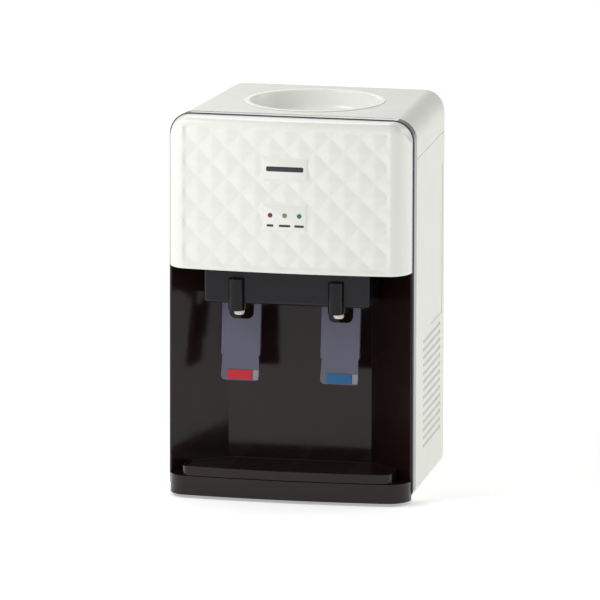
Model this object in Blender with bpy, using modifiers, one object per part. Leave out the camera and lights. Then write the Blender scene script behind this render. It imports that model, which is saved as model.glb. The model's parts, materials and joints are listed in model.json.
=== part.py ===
"""Countertop hot and cold water dispenser, bottle fed, with two push levers.

Metres, +Z up, the front faces -Y. The origin lies on the surface that the feet stand on,
under the middle of the whole dispenser.
"""
import math

import bmesh
import bpy
from mathutils import Matrix, Vector

# Overall sizes
WIDTH = 0.310
DEPTH = 0.290
HEIGHT = 0.480
FOOT_HEIGHT = 0.004

# Walls and clearances
WALL = 0.0025
FIT_GAP = 0.0003
SLIDE_GAP = 0.0008
OVERCUT = 0.002

# Casing: the trim band stands a little proud of the casing behind it and of the front panels
TOP_RADIUS = 0.027
BOTTOM_RADIUS = 0.012
SIDE_TAPER = 0.013
CASING_INSET = 0.001
COVER_DROP = 0.0515
FLANGE = 0.006
BAND_DEPTH = 0.016
BAND_THICKNESS = 0.004
REAR_PROUD = 0.005
REAR_PANEL_SET_IN = 0.0025
PAN_RIM = 0.012

# Side panel: service cover recess and louvres, measured back from the casing's front
RECESS_DEPTH = 0.001
RECESS_START = 0.124
RECESS_END = 0.215
RECESS_TOP_DROP = 0.038
VENT_START = 0.062
VENT_END = 0.200
VENT_LOW = 0.052
VENT_HIGH = 0.194
VENT_ROWS = 14
VENT_SLOT = 0.004
VENT_MARGIN = 0.006

# Bowed front
FRONT_INSET = 0.002
FRONT_REACH = 0.040
FRONT_BOW = 0.010
WRAP_WIDTH = 0.024
FASCIA_HEIGHT = 0.189
FASCIA_TOP_INSET = 0.0015
FASCIA_EDGE = 0.008
SEAM = 0.0005

# Badge and indicator plates
PLATE_SET_IN = 0.0006
PLATE_THICKNESS = 0.0022
BADGE_WIDTH = 0.056
BADGE_HEIGHT = 0.027
BADGE_DROP = 0.0585
INDICATOR_WIDTH = 0.054
INDICATOR_HEIGHT = 0.032
INDICATOR_DROP = 0.1195
LED_RADIUS = 0.003
LED_PITCH = 0.0184
LED_RISE = 0.003
LED_LENGTH = 0.010
BOARD_THICKNESS = 0.0016

# Dispensing bay
BAY_DEPTH = 0.050
BAY_FLARE = 0.0575
BAY_RIM = 0.002
PLINTH_HEIGHT = 0.024
PLINTH_STEP = 0.0015
FLANGE_THICKNESS = 0.0025

# Tap housing
HOUSING_SET_BACK = 0.011
HOUSING_DROP = 0.042
HOUSING_RISE = 0.005
HOUSING_SIDE = 0.014
HOUSING_CORNER = 0.006

# Taps, measured from the housing's front and its lower face
TAP_INSET = 0.042
SPOUT_RADIUS = 0.010
SPOUT_DROP = 0.008
SPOUT_RISE = 0.032
VALVE_SET_BACK = 0.0155
VALVE_RADIUS = 0.011
VALVE_TOP = 0.018
NOZZLE_RADIUS = 0.0065
NOZZLE_BORE = 0.0045
NOZZLE_LENGTH = 0.0075
STEM_RADIUS = 0.002
COLLAR_RADIUS = 0.005
STUB_RADIUS = 0.005
STUB_RISE = 0.009
PIN_RADIUS = 0.0016
PIN_CLEARANCE = 0.00008
PIN_SET_BACK = 0.034
PIN_RISE = 0.027
LUG_RADIUS = 0.0034
SPRING_RADIUS = 0.0042
SPRING_WIRE = 0.0004
SPRING_TURNS = 4

# Levers
LEVER_WIDTH = 0.049
LEVER_NOTCH = 0.031
LEVER_THICKNESS = 0.003
LEVER_FLANGE = 0.006
LEVER_EDGE = 0.0022
LEVER_STEP = 0.0003
LEVER_TAPER = 0.0012
LEVER_CORNER = 0.006
NOTCH_CORNER = 0.008
PADDLE_HEIGHT = 0.030
LABEL_LIFT = 0.0015
LEVER_LEAN = math.radians(6.0)
NOTCH_DROP = 0.051
PADDLE_DROP = 0.128
BRIDGE_RISE = 0.0048
BRIDGE_THICKNESS = 0.003
LABEL_WIDTH = 0.031
LABEL_HEIGHT = 0.012
LABEL_THICKNESS = 0.001

# Drip tray
TRAY_HALF_WIDTH = 0.133
TRAY_CORNER = 0.012
TRAY_HEIGHT = 0.012
TRAY_FLOOR = 0.002
TRAY_LEDGE = 0.003
TRAY_STEP = 0.001
GRILLE_THICKNESS = 0.002
GRILLE_SET_DOWN = 0.0015
GRILLE_ROWS = 8
GRILLE_SLOT = 0.0035
GRILLE_SLOT_LENGTH = 0.072

# Bottle receiver and cold tank
LIP_RADIUS = 0.088
BOWL_RADIUS = 0.079
NECK_RADIUS = 0.034
BOWL_DEPTH = 0.056
NECK_DEPTH = 0.010
RECEIVER_WALL = 0.002
LIP_THICKNESS = 0.0007
SPIKE_RADIUS = 0.009
SPIKE_HEIGHT = 0.040
GASKET_HEIGHT = 0.006
GASKET_WIDTH = 0.008
TANK_RADIUS = 0.062
TANK_WALL = 0.0015
TANK_CLEARANCE = 0.003
BAFFLE_THICKNESS = 0.0015
BAFFLE_HOLE = 0.012
INSULATION = 0.014
HOSE_RADIUS = 0.0045

# Cooling stack, front to back
COLD_BLOCK = 0.040
PELTIER_THICKNESS = 0.0038
SINK_SIZE = 0.080
SINK_BASE = 0.004
SINK_DEPTH = 0.014
SINK_FINS = 11
SINK_FIN = 0.0014
FAN_DEPTH = 0.012
FAN_RADIUS = 0.037
FAN_TIP_GAP = 0.0015
FAN_HUB = 0.014
FAN_BLADES = 7
FAN_STRUT = 0.005
GUARD_RADIUS = 0.043
GUARD_FACE = 0.0025
GUARD_RINGS = 3

# Hot tank and electrics
HOT_RADIUS = 0.046
HOT_HEIGHT = 0.115
HOT_LIFT = 0.028
HOT_SIDE_GAP = 0.008
HOT_Y = 0.030
HEATER_PLUG = 0.015
DRAIN_RADIUS = 0.0055
DRAIN_BORE = 0.0035
DRAIN_LIFT = 0.014
CAP_RADIUS = 0.009
BUSH_RADIUS = 0.0085
BUSH_BORE = 0.0038
BUSH_GROOVE = 0.0025
BUSH_TAIL = 0.003
BUSH_CHAMFER = 0.001
BUSH_X = 0.085
BUSH_Z = 0.045
SWITCH_X = -0.075
SWITCH_Z = 0.190
ROCKER_WIDTH = 0.012
ROCKER_HEIGHT = 0.020
ROCKER_TILT = math.radians(6.0)
ROCKER_PROUD = 0.0038
ROCKER_SIDE = 0.0016
ROCKER_DIP = 0.0026
ROCKER_ROOT = 0.005
BEZEL_DEPTH = 0.0025
ROCKER_PITCH = 0.018
BEZEL_MARGIN = 0.004

FOOT_RADIUS = 0.009
FOOT_STEM = 0.004
FOOT_INSET_X = 0.040
FOOT_INSET_FRONT = 0.034
FOOT_INSET_REAR = 0.030

# Places worked out from the sizes above
FRONT_Y = -DEPTH / 2
PANEL_Y = FRONT_Y + FRONT_REACH
CASING_FRONT_Y = PANEL_Y + BAND_DEPTH
CASING_REAR_Y = DEPTH / 2 - REAR_PROUD
CASING_HALF = WIDTH / 2 - CASING_INSET
CASING_TOP = HEIGHT - CASING_INSET
REAR_PANEL_Y = CASING_REAR_Y - REAR_PANEL_SET_IN
REAR_INNER_Y = REAR_PANEL_Y - WALL
SEAM_Z = HEIGHT - COVER_DROP
FRONT_HALF = WIDTH / 2 - FRONT_INSET
FASCIA_TOP = HEIGHT - FASCIA_TOP_INSET
FASCIA_LOW = FASCIA_TOP - FASCIA_HEIGHT
BAY_TOP = FASCIA_LOW - SEAM
BAY_FLOOR = FOOT_HEIGHT + PLINTH_HEIGHT
BAY_FRONT_HALF = FRONT_HALF - BAY_RIM - WALL
BAY_BACK_HALF = BAY_FRONT_HALF - BAY_FLARE
BAY_BACK_Y = PANEL_Y + BAY_DEPTH
PLINTH_Y = FRONT_Y + PLINTH_STEP
HOUSING_FRONT_Y = FRONT_Y + HOUSING_SET_BACK
HOUSING_HALF = BAY_BACK_HALF + HOUSING_SIDE
HOUSING_LOW = FASCIA_LOW - HOUSING_DROP
HOUSING_TOP = FASCIA_LOW + HOUSING_RISE
TAP_X = HOUSING_HALF - TAP_INSET
VALVE_Y = HOUSING_FRONT_Y + VALVE_SET_BACK
PIN_Y = HOUSING_FRONT_Y + PIN_SET_BACK
PIN_Z = HOUSING_LOW + PIN_RISE
VALVE_LOW = HOUSING_LOW - SPOUT_DROP
VALVE_TOP_Z = HOUSING_LOW + VALVE_TOP
BRIDGE_LOW = PIN_Z + BRIDGE_RISE
STEM_TOP = BRIDGE_LOW - FIT_GAP
WELL_Y = (CASING_FRONT_Y + CASING_REAR_Y) / 2
NECK_LOW = HEIGHT - BOWL_DEPTH - NECK_DEPTH
TANK_TOP = NECK_LOW - GASKET_HEIGHT - 2 * FIT_GAP
TANK_LOW = HOUSING_TOP + TANK_CLEARANCE + INSULATION
FAN_Y = REAR_INNER_Y - FIT_GAP - FAN_DEPTH
SINK_Y = FAN_Y - FIT_GAP - SINK_DEPTH
PELTIER_Y = SINK_Y - FIT_GAP - PELTIER_THICKNESS
BLOCK_END_Y = PELTIER_Y - FIT_GAP
TANK_Y = BLOCK_END_Y - INSULATION - TANK_RADIUS - FIT_GAP
FAN_Z = (TANK_TOP + TANK_LOW) / 2
HOT_X = -(WIDTH / 2 - SIDE_TAPER - WALL - HOT_SIDE_GAP - HOT_RADIUS)
HOT_LOW = FOOT_HEIGHT + HOT_LIFT
HOT_TOP = HOT_LOW + HOT_HEIGHT
TRAY_LOW = BAY_FLOOR + FIT_GAP
TRAY_TOP = TRAY_LOW + TRAY_HEIGHT
GRILLE_TOP = TRAY_TOP - GRILLE_SET_DOWN

COLLECTION = "countertop_water_dispenser"
CUTTERS = "cutters"
MATERIALS = {}


def clear_scene():
    """Remove every object, and make the two collections."""
    for item in list(bpy.data.objects):
        bpy.data.objects.remove(item, do_unlink=True)
    for name in (COLLECTION, CUTTERS):
        collection = bpy.data.collections.get(name) or bpy.data.collections.new(name)
        if name not in bpy.context.scene.collection.children:
            bpy.context.scene.collection.children.link(collection)


def material(name, colour, roughness, metallic=0.0):
    """Return the Principled material of one finish, made once."""
    if name not in MATERIALS:
        made = bpy.data.materials.new(name)
        made.use_nodes = True
        shader = made.node_tree.nodes["Principled BSDF"]
        shader.inputs["Base Color"].default_value = (*colour, 1.0)
        shader.inputs["Roughness"].default_value = roughness
        shader.inputs["Metallic"].default_value = metallic
        made.diffuse_color = (*colour, 1.0)
        MATERIALS[name] = made
    return MATERIALS[name]


def white_plastic():
    """Casing plastic, warm white."""
    return material("white_abs", (0.85, 0.86, 0.80), 0.35)


def bright_plastic():
    """Front fascia plastic, a cleaner white."""
    return material("fascia_abs", (0.90, 0.91, 0.86), 0.25)


def black_plastic():
    """High-gloss black of the dispensing bay."""
    return material("gloss_black", (0.020, 0.016, 0.016), 0.12)


def housing_plastic():
    """Blue-black plastic of the tap housing."""
    return material("tap_housing_black", (0.025, 0.027, 0.040), 0.30)


def smoke_plastic():
    """Smoky grey of the levers."""
    return material("smoke_grey", (0.13, 0.13, 0.17), 0.20)


def trim_plastic():
    """Dark smoked trim."""
    return material("smoked_trim", (0.08, 0.08, 0.11), 0.20)


def steel():
    """Stainless steel of tanks, pins and springs."""
    return material("stainless_steel", (0.62, 0.62, 0.60), 0.28, 1.0)


def aluminium():
    """Aluminium of the cold block and heat sink."""
    return material("aluminium", (0.75, 0.76, 0.77), 0.35, 1.0)


def rubber():
    """Black rubber of the feet and the gasket."""
    return material("rubber", (0.03, 0.03, 0.03), 0.80)


def silicone():
    """Pale silicone of the hoses."""
    return material("silicone", (0.80, 0.80, 0.76), 0.50)


def foam():
    """Expanded polystyrene of the tank jacket."""
    return material("eps_foam", (0.88, 0.88, 0.86), 0.90)


def finish(item, look):
    """Give an object its material, and shade its round faces smooth."""
    item.data.materials.clear()
    item.data.materials.append(look)
    if item.type == "MESH":
        item.data.shade_smooth()
        item.data.set_sharp_from_angle(angle=math.radians(35))
    return item


def add_object(name, data):
    """Link a new object that holds the data to the dispenser's collection."""
    item = bpy.data.objects.new(name, data)
    bpy.data.collections[COLLECTION].objects.link(item)
    return item


def mesh_object(name, shape):
    """Make an object from a bmesh, with its faces pointing out."""
    bmesh.ops.remove_doubles(shape, verts=shape.verts[:], dist=1e-6)
    bmesh.ops.recalc_face_normals(shape, faces=shape.faces[:])
    data = bpy.data.meshes.new(name)
    shape.to_mesh(data)
    shape.free()
    return add_object(name, data)


def box(name, low, high):
    """Make a box from its lowest and highest corners."""
    shape = bmesh.new()
    bmesh.ops.create_cube(shape, size=1.0)
    size = [b - a for a, b in zip(low, high)]
    middle = [(a + b) / 2 for a, b in zip(low, high)]
    bmesh.ops.transform(shape, verts=shape.verts, matrix=Matrix.LocRotScale(middle, None, size))
    return mesh_object(name, shape)


def cylinder(name, radius, start, end, segments=24):
    """Make a cylinder between two points."""
    start, end = Vector(start), Vector(end)
    axis = end - start
    shape = bmesh.new()
    bmesh.ops.create_cone(shape, cap_ends=True, segments=segments, radius1=radius, radius2=radius,
                          depth=axis.length)
    turn = axis.to_track_quat("Z", "Y")
    bmesh.ops.transform(shape, verts=shape.verts, matrix=Matrix.LocRotScale((start + end) / 2, turn, None))
    return mesh_object(name, shape)


def as_mesh(item):
    """Turn a curve or an object with modifiers into a plain mesh in world space."""
    bpy.context.view_layer.update()
    evaluated = item.evaluated_get(bpy.context.evaluated_depsgraph_get())
    data = bpy.data.meshes.new_from_object(evaluated)
    data.transform(item.matrix_world)
    name = item.name
    bpy.data.objects.remove(item, do_unlink=True)
    shape = bmesh.new()
    shape.from_mesh(data)
    bpy.data.meshes.remove(data)
    return mesh_object(name, shape)


PLANES = {
    "X": Matrix(((0, 0, 1, 0), (1, 0, 0, 0), (0, 1, 0, 0), (0, 0, 0, 1))),
    "Y": Matrix(((1, 0, 0, 0), (0, 0, -1, 0), (0, 1, 0, 0), (0, 0, 0, 1))),
    "Z": Matrix.Identity(4),
}


def prism(name, outline, axis, low, high):
    """Extrude a flat outline along an axis; the outline is (y, z), (x, z) or (x, y)."""
    data = bpy.data.curves.new(name, "CURVE")
    data.dimensions = "2D"
    data.fill_mode = "BOTH"
    data.extrude = (high - low) / 2
    spline = data.splines.new("POLY")
    spline.points.add(len(outline) - 1)
    for point, (across, up) in zip(spline.points, outline):
        point.co = (across, up, 0.0, 1.0)
    spline.use_cyclic_u = True
    item = add_object(name, data)
    middle = Vector([(low + high) / 2 if axis == letter else 0.0 for letter in "XYZ"])
    item.matrix_world = Matrix.Translation(middle) @ PLANES[axis]
    return as_mesh(item)


def turned(name, profile, centre, axis="Z", steps=28):
    """Turn a closed (radius, height) profile about a line through the centre."""
    shape = bmesh.new()
    corners = [shape.verts.new((radius, 0.0, height)) for radius, height in profile]
    for first, second in zip(corners, corners[1:] + corners[:1]):
        shape.edges.new((first, second))
    data = bpy.data.meshes.new(name)
    shape.to_mesh(data)
    shape.free()
    item = add_object(name, data)
    screw = item.modifiers.new("turn", "SCREW")
    screw.steps = screw.render_steps = steps
    screw.use_merge_vertices = True
    screw.merge_threshold = 0.00001
    if axis == "Y":
        item.rotation_euler.x = -math.pi / 2
    item.location = centre
    return as_mesh(item)


def tube(name, points, radius, sides=2):
    """Run a round tube through the points."""
    data = bpy.data.curves.new(name, "CURVE")
    data.dimensions = "3D"
    data.bevel_depth = radius
    data.bevel_resolution = sides
    data.use_fill_caps = True
    spline = data.splines.new("POLY")
    spline.points.add(len(points) - 1)
    for point, place in zip(spline.points, points):
        point.co = (*place, 1.0)
    return as_mesh(add_object(name, data))


def cut(item, cutter, operation="DIFFERENCE"):
    """Apply a Boolean, and keep the cutter as a hidden guide."""
    for collection in list(cutter.users_collection):
        collection.objects.unlink(cutter)
    bpy.data.collections[CUTTERS].objects.link(cutter)
    cutter.display_type = "WIRE"
    cutter.hide_render = True
    step = item.modifiers.new(cutter.name, "BOOLEAN")
    step.operation = operation
    step.solver = "EXACT"
    step.object = cutter
    return item


def join(item, other):
    """Unite another solid with this one."""
    return cut(item, other, "UNION")


def set_origin(item, point):
    """Put an object's origin at a point without moving its shape."""
    item.data.transform(Matrix.Translation(-Vector(point)))
    item.location = point
    return item


def arc(centre, radius, start, end, count=7):
    """List points of an arc, its angles in degrees."""
    angles = [math.radians(start + (end - start) * step / count) for step in range(count + 1)]
    return [(centre[0] + radius * math.cos(a), centre[1] + radius * math.sin(a)) for a in angles]


def offset_path(path, distance):
    """Shift an open path to the right of its direction, with mitred corners."""
    directions = [(Vector(b) - Vector(a)).normalized() for a, b in zip(path, path[1:])]
    shifted = []
    for index, point in enumerate(path):
        before = directions[max(index - 1, 0)]
        after = directions[min(index, len(directions) - 1)]
        bisector = (before + after).normalized()
        normal = Vector((bisector.y, -bisector.x))
        shifted.append(tuple(Vector(point) + normal * distance / max(bisector.dot(after), 0.3)))
    return shifted


def strip(path, thickness):
    """Close an open path into the outline of a wall."""
    return list(path) + offset_path(path, thickness)[::-1]


def taper_sides(item):
    """Draw the casing in towards the rear."""
    length = CASING_REAR_Y - CASING_FRONT_Y
    for vertex in item.data.vertices:
        share = (vertex.co.y - CASING_FRONT_Y) / length
        vertex.co.x *= 1.0 - SIDE_TAPER / CASING_HALF * share
    return item


def side_half(y):
    """Return the casing's half width at a depth."""
    share = (y - CASING_FRONT_Y) / (CASING_REAR_Y - CASING_FRONT_Y)
    return CASING_HALF - SIDE_TAPER * share


def crown_path(half, top, radius, low):
    """Path up the left side, over both shoulders and down the right side."""
    left = arc((-half + radius, top - radius), radius, 180, 90)
    right = arc((half - radius, top - radius), radius, 90, 0)
    return [(-half, low)] + left + right + [(half, low)]


def bowed_profile(half, front_y, reach, wrap):
    """Plan of a bowed front, from its left end round to its right end."""
    flat = half - wrap
    right = []
    for step in range(8):
        x = flat * step / 8
        right.append((x, front_y + FRONT_BOW * (x / half) ** 2))
    for step in range(9):
        angle = math.pi / 2 * step / 8
        x = flat + wrap * math.sin(angle)
        depth = (reach - FRONT_BOW) * (1.0 - math.cos(angle))
        right.append((x, front_y + FRONT_BOW * (x / half) ** 2 + depth))
    left = [(-x, y) for x, y in reversed(right[1:])]
    return left + right


def bay_half(y):
    """Return the half width between the bay's flared walls at a depth."""
    return BAY_FRONT_HALF - BAY_FLARE * (y - PANEL_Y) / BAY_DEPTH


def make_casing():
    """Top cover, side panels, base pan, rear panel and trim band."""
    top = crown_path(CASING_HALF, CASING_TOP, TOP_RADIUS, SEAM_Z)
    cover = prism("top_cover", strip(top, WALL), "Y", CASING_FRONT_Y + FIT_GAP, CASING_REAR_Y)
    taper_sides(cover)
    hole = BOWL_RADIUS + RECEIVER_WALL + SLIDE_GAP
    cut(cover, cylinder("well_hole", hole, (0, WELL_Y, SEAM_Z), (0, WELL_Y, HEIGHT + OVERCUT), 40))
    finish(cover, white_plastic())

    for name, side in (("side_panel_left", -1), ("side_panel_right", 1)):
        make_side_panel(name, side)

    pan_half = CASING_HALF - BOTTOM_RADIUS - FLANGE - FIT_GAP
    rim_z = FOOT_HEIGHT + PAN_RIM
    path = [(-pan_half, rim_z), (-pan_half, FOOT_HEIGHT), (pan_half, FOOT_HEIGHT), (pan_half, rim_z)]
    outline = path + offset_path(path, -WALL)[::-1]
    pan = prism("base_pan", outline, "Y", BAY_BACK_Y + WALL + SLIDE_GAP, REAR_INNER_Y - FIT_GAP)
    finish(taper_sides(pan), white_plastic())
    make_rear_panel()

    foot = CASING_INSET + FOOT_HEIGHT
    half = WIDTH / 2
    left = arc((-half + BOTTOM_RADIUS, foot + BOTTOM_RADIUS), BOTTOM_RADIUS, 270, 180)
    path = left + crown_path(half, HEIGHT, TOP_RADIUS, SEAM_Z)
    path += [(-x, z) for x, z in reversed(left)]
    band = prism("trim_band", strip(path, BAND_THICKNESS), "Y", PANEL_Y + FIT_GAP, CASING_FRONT_Y)
    finish(band, trim_plastic())


def make_side_panel(name, side):
    """One side wall, turned under the casing, with its service recess and louvres."""
    corner = arc((CASING_HALF - BOTTOM_RADIUS, FOOT_HEIGHT + BOTTOM_RADIUS), BOTTOM_RADIUS, 0, -90)
    path = [(CASING_HALF, SEAM_Z - SEAM)] + corner
    path.append((CASING_HALF - BOTTOM_RADIUS - FLANGE, FOOT_HEIGHT))
    outline = strip(path, WALL)
    if side < 0:
        outline = [(-x, z) for x, z in reversed(outline)]
    panel = prism(name, outline, "Y", CASING_FRONT_Y + FIT_GAP, CASING_REAR_Y)
    taper_sides(panel)
    inside, outside = side * (CASING_HALF - RECESS_DEPTH), side * (CASING_HALF + OVERCUT)
    low = (min(inside, outside), CASING_FRONT_Y + RECESS_START, VENT_HIGH + VENT_MARGIN)
    high = (max(inside, outside), CASING_FRONT_Y + RECESS_END, SEAM_Z - RECESS_TOP_DROP)
    cut(panel, taper_sides(box(name + "_recess", low, high)))
    pitch = (VENT_HIGH - VENT_LOW) / VENT_ROWS
    inside, outside = sorted((side * (CASING_HALF - SIDE_TAPER - 3 * WALL), outside))
    for row in range(VENT_ROWS):
        z = VENT_LOW + pitch * (row + 0.5)
        low = (inside, CASING_FRONT_Y + VENT_START, z - VENT_SLOT / 2)
        high = (outside, CASING_FRONT_Y + VENT_END, z + VENT_SLOT / 2)
        cut(panel, box(f"{name}_louvre_{row}", low, high))
    finish(panel, white_plastic())


def make_rear_panel():
    """Rear wall set in between the sides, with its openings."""
    half = CASING_HALF - WALL - SLIDE_GAP
    radius = TOP_RADIUS - WALL - SLIDE_GAP
    path = crown_path(half, CASING_TOP - WALL - SLIDE_GAP, radius, FOOT_HEIGHT + BOTTOM_RADIUS)
    inner = half - BOTTOM_RADIUS
    low = FOOT_HEIGHT + WALL + FIT_GAP
    outline = path + [(inner, low), (-inner, low)]
    panel = taper_sides(prism("rear_panel", outline, "Y", REAR_INNER_Y, REAR_PANEL_Y))
    near, far = REAR_INNER_Y - OVERCUT, REAR_PANEL_Y + OVERCUT
    round_hole = ("rear_fan", FAN_RADIUS, 0.0, FAN_Z), ("rear_cord", BUSH_RADIUS - 0.002, BUSH_X, BUSH_Z)
    drain = ("rear_drain", DRAIN_RADIUS + SLIDE_GAP, HOT_X, HOT_LOW + DRAIN_LIFT)
    for name, radius, x, z in (*round_hole, drain):
        cut(panel, cylinder(name, radius, (x, near, z), (x, far, z), 28))
    wide, tall = ROCKER_PITCH / 2 + ROCKER_WIDTH / 2 + 0.002, ROCKER_HEIGHT / 2 + 0.002
    low = (SWITCH_X - wide, near, SWITCH_Z - tall)
    cut(panel, box("rear_switches", low, (SWITCH_X + wide, far, SWITCH_Z + tall)))
    finish(panel, white_plastic())


def make_fascia():
    """Upper front shell with its plates, lamps and board."""
    rear = PANEL_Y - FIT_GAP
    outer = bowed_profile(FRONT_HALF, FRONT_Y, FRONT_REACH - FIT_GAP, WRAP_WIDTH)
    shell = prism("upper_fascia", outer, "Z", FASCIA_LOW, FASCIA_TOP)
    round_top_edge(shell)
    corner = TOP_RADIUS - FRONT_INSET
    frame = crown_path(FRONT_HALF + FIT_GAP, FASCIA_TOP, corner, FASCIA_LOW - OVERCUT)
    cut(shell, prism("fascia_corners", frame, "Y", FRONT_Y - OVERCUT, PANEL_Y + OVERCUT), "INTERSECT")
    inner = bowed_profile(FRONT_HALF - WALL, FRONT_Y + WALL, FRONT_REACH - WALL, WRAP_WIDTH - WALL)
    inner = [(inner[0][0], PANEL_Y + OVERCUT)] + inner + [(inner[-1][0], PANEL_Y + OVERCUT)]
    hollow = prism("fascia_hollow", inner, "Z", FASCIA_LOW + WALL, FASCIA_TOP - WALL)
    frame = crown_path(FRONT_HALF - WALL, FASCIA_TOP - WALL, corner - WALL, FASCIA_LOW - OVERCUT)
    limit = prism("fascia_hollow_corners", frame, "Y", FRONT_Y - OVERCUT, PANEL_Y + 2 * OVERCUT)
    cut(hollow, limit, "INTERSECT")
    cut(shell, hollow)
    gap = FIT_GAP
    low = (-HOUSING_HALF - gap, HOUSING_FRONT_Y - gap, FASCIA_LOW - OVERCUT)
    cut(shell, box("housing_way", low, (HOUSING_HALF + gap, rear + OVERCUT, FASCIA_LOW + 2 * WALL)))
    plates = (("badge_plate", BADGE_WIDTH, BADGE_HEIGHT, FASCIA_TOP - BADGE_DROP),
              ("indicator_plate", INDICATOR_WIDTH, INDICATOR_HEIGHT, FASCIA_TOP - INDICATOR_DROP))
    front = FRONT_Y + PLATE_SET_IN
    for name, wide, tall, z in plates:
        low = (-wide / 2 - gap, FRONT_Y - OVERCUT, z - tall / 2 - gap)
        cut(shell, box(name + "_window", low, (wide / 2 + gap, FRONT_Y + 2 * WALL, z + tall / 2 + gap)))
        low = (-wide / 2, front, z - tall / 2)
        finish(box(name, low, (wide / 2, front + PLATE_THICKNESS, z + tall / 2)), bright_plastic())
    finish(shell, bright_plastic())
    make_indicators(front)


def round_top_edge(shell):
    """Round the fascia's top front edge."""
    shape = bmesh.new()
    shape.from_mesh(shell.data)
    rear = PANEL_Y - 2 * FIT_GAP
    edges = [edge for edge in shape.edges
             if all(abs(v.co.z - FASCIA_TOP) < 1e-5 for v in edge.verts)
             and not all(v.co.y > rear for v in edge.verts)
             and len({face.normal.z > 0.5 for face in edge.link_faces}) == 2]
    bmesh.ops.bevel(shape, geom=edges, offset=FASCIA_EDGE, segments=4, profile=0.5, affect="EDGES",
                    clamp_overlap=True)
    shape.to_mesh(shell.data)
    shape.free()


def make_indicators(plate_front):
    """Three lamp lenses in the indicator plate, and the board behind them."""
    z = FASCIA_TOP - INDICATOR_DROP + LED_RISE
    lamps = (("led_lens_hot", -1, (0.10, 0.01, 0.03)), ("led_lens_power", 0, (0.32, 0.30, 0.14)),
             ("led_lens_cool", 1, (0.02, 0.17, 0.08)))
    plate = bpy.data.objects["indicator_plate"]
    tip = plate_front - FIT_GAP
    for name, place, colour in lamps:
        x = place * LED_PITCH
        reach = (x, tip, z), (x, tip + LED_LENGTH, z)
        cut(plate, cylinder(name + "_hole", LED_RADIUS + FIT_GAP,
                            (x, FRONT_Y - OVERCUT, z), (x, FRONT_Y + 2 * WALL, z), 16))
        finish(cylinder(name, LED_RADIUS, *reach, 16), material(name, colour, 0.15))
    near = tip + LED_LENGTH + FIT_GAP
    half, tall = LED_PITCH + 2.5 * LED_RADIUS, 3 * LED_RADIUS
    board = box("indicator_board", (-half, near, z - tall), (half, near + BOARD_THICKNESS, z + tall))
    finish(board, material("circuit_board", (0.03, 0.14, 0.05), 0.5))


def bay_outline(inset):
    """Plan of the bay block: bowed front, then flared walls running back."""
    half = FRONT_HALF - inset
    front = bowed_profile(half, PLINTH_Y + inset, PANEL_Y - PLINTH_Y - inset - FIT_GAP, WRAP_WIDTH - inset)
    inner = FRONT_HALF - BAY_RIM - FIT_GAP - inset
    back = BAY_BACK_HALF + WALL - inset
    rear_y = BAY_BACK_Y + WALL - inset
    return front + [(inner, PANEL_Y), (back, rear_y), (-back, rear_y), (-inner, PANEL_Y)]


def make_bay():
    """Gloss black bay: plinth, floor, flared walls and back wall in one moulding."""
    shell = prism("bay_shell", bay_outline(0.0), "Z", FOOT_HEIGHT, BAY_TOP)
    wide = WIDTH
    flange_y = PANEL_Y - FLANGE_THICKNESS
    cut(shell, box("bay_front_space", (-wide, -DEPTH, BAY_FLOOR), (wide, flange_y, HEIGHT)))
    start = flange_y - OVERCUT
    space = [(-bay_half(start), start), (bay_half(start), start),
             (BAY_BACK_HALF, BAY_BACK_Y), (-BAY_BACK_HALF, BAY_BACK_Y)]
    cut(shell, prism("bay_space", space, "Z", BAY_FLOOR, HEIGHT))
    cut(shell, prism("bay_underside", bay_outline(WALL), "Z", -OVERCUT, BAY_FLOOR - WALL))
    gap = FIT_GAP
    corner = WIDTH / 2 - BOTTOM_RADIUS - SLIDE_GAP
    for side in (-1, 1):
        inside, outside = sorted((side * corner, side * wide))
        top = FOOT_HEIGHT + CASING_INSET + BOTTOM_RADIUS + gap
        low, high = (inside, PANEL_Y - gap / 2, -OVERCUT), (outside, CASING_FRONT_Y, top)
        cut(shell, box(f"band_corner_{side}", low, high))
    for x in (-TAP_X, TAP_X):
        z = HOUSING_LOW + STUB_RISE
        ends = (x, BAY_BACK_Y - WALL, z), (x, BAY_BACK_Y + 3 * WALL, z)
        cut(shell, cylinder(f"bay_pipe_hole_{x:.3f}", STUB_RADIUS + SLIDE_GAP, *ends, 20))
    finish(shell, black_plastic())


def housing_outline(inset):
    """Plan of the tap housing, whose rear corners follow the flared walls."""
    half = HOUSING_HALF - inset
    front = HOUSING_FRONT_Y + inset
    turn = HOUSING_CORNER - inset
    rear = BAY_BACK_Y - 2 * FIT_GAP - inset
    slope = BAY_FLARE / BAY_DEPTH
    flare_y = PANEL_Y + (BAY_FRONT_HALF - half - 4 * FIT_GAP - 2 * inset) / slope
    rear_half = bay_half(rear) - 4 * FIT_GAP - 2 * inset
    right = arc((half - turn, front + turn), turn, 270, 360, 4) + [(half, flare_y), (rear_half, rear)]
    return right + [(-x, y) for x, y in reversed(right)]


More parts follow.
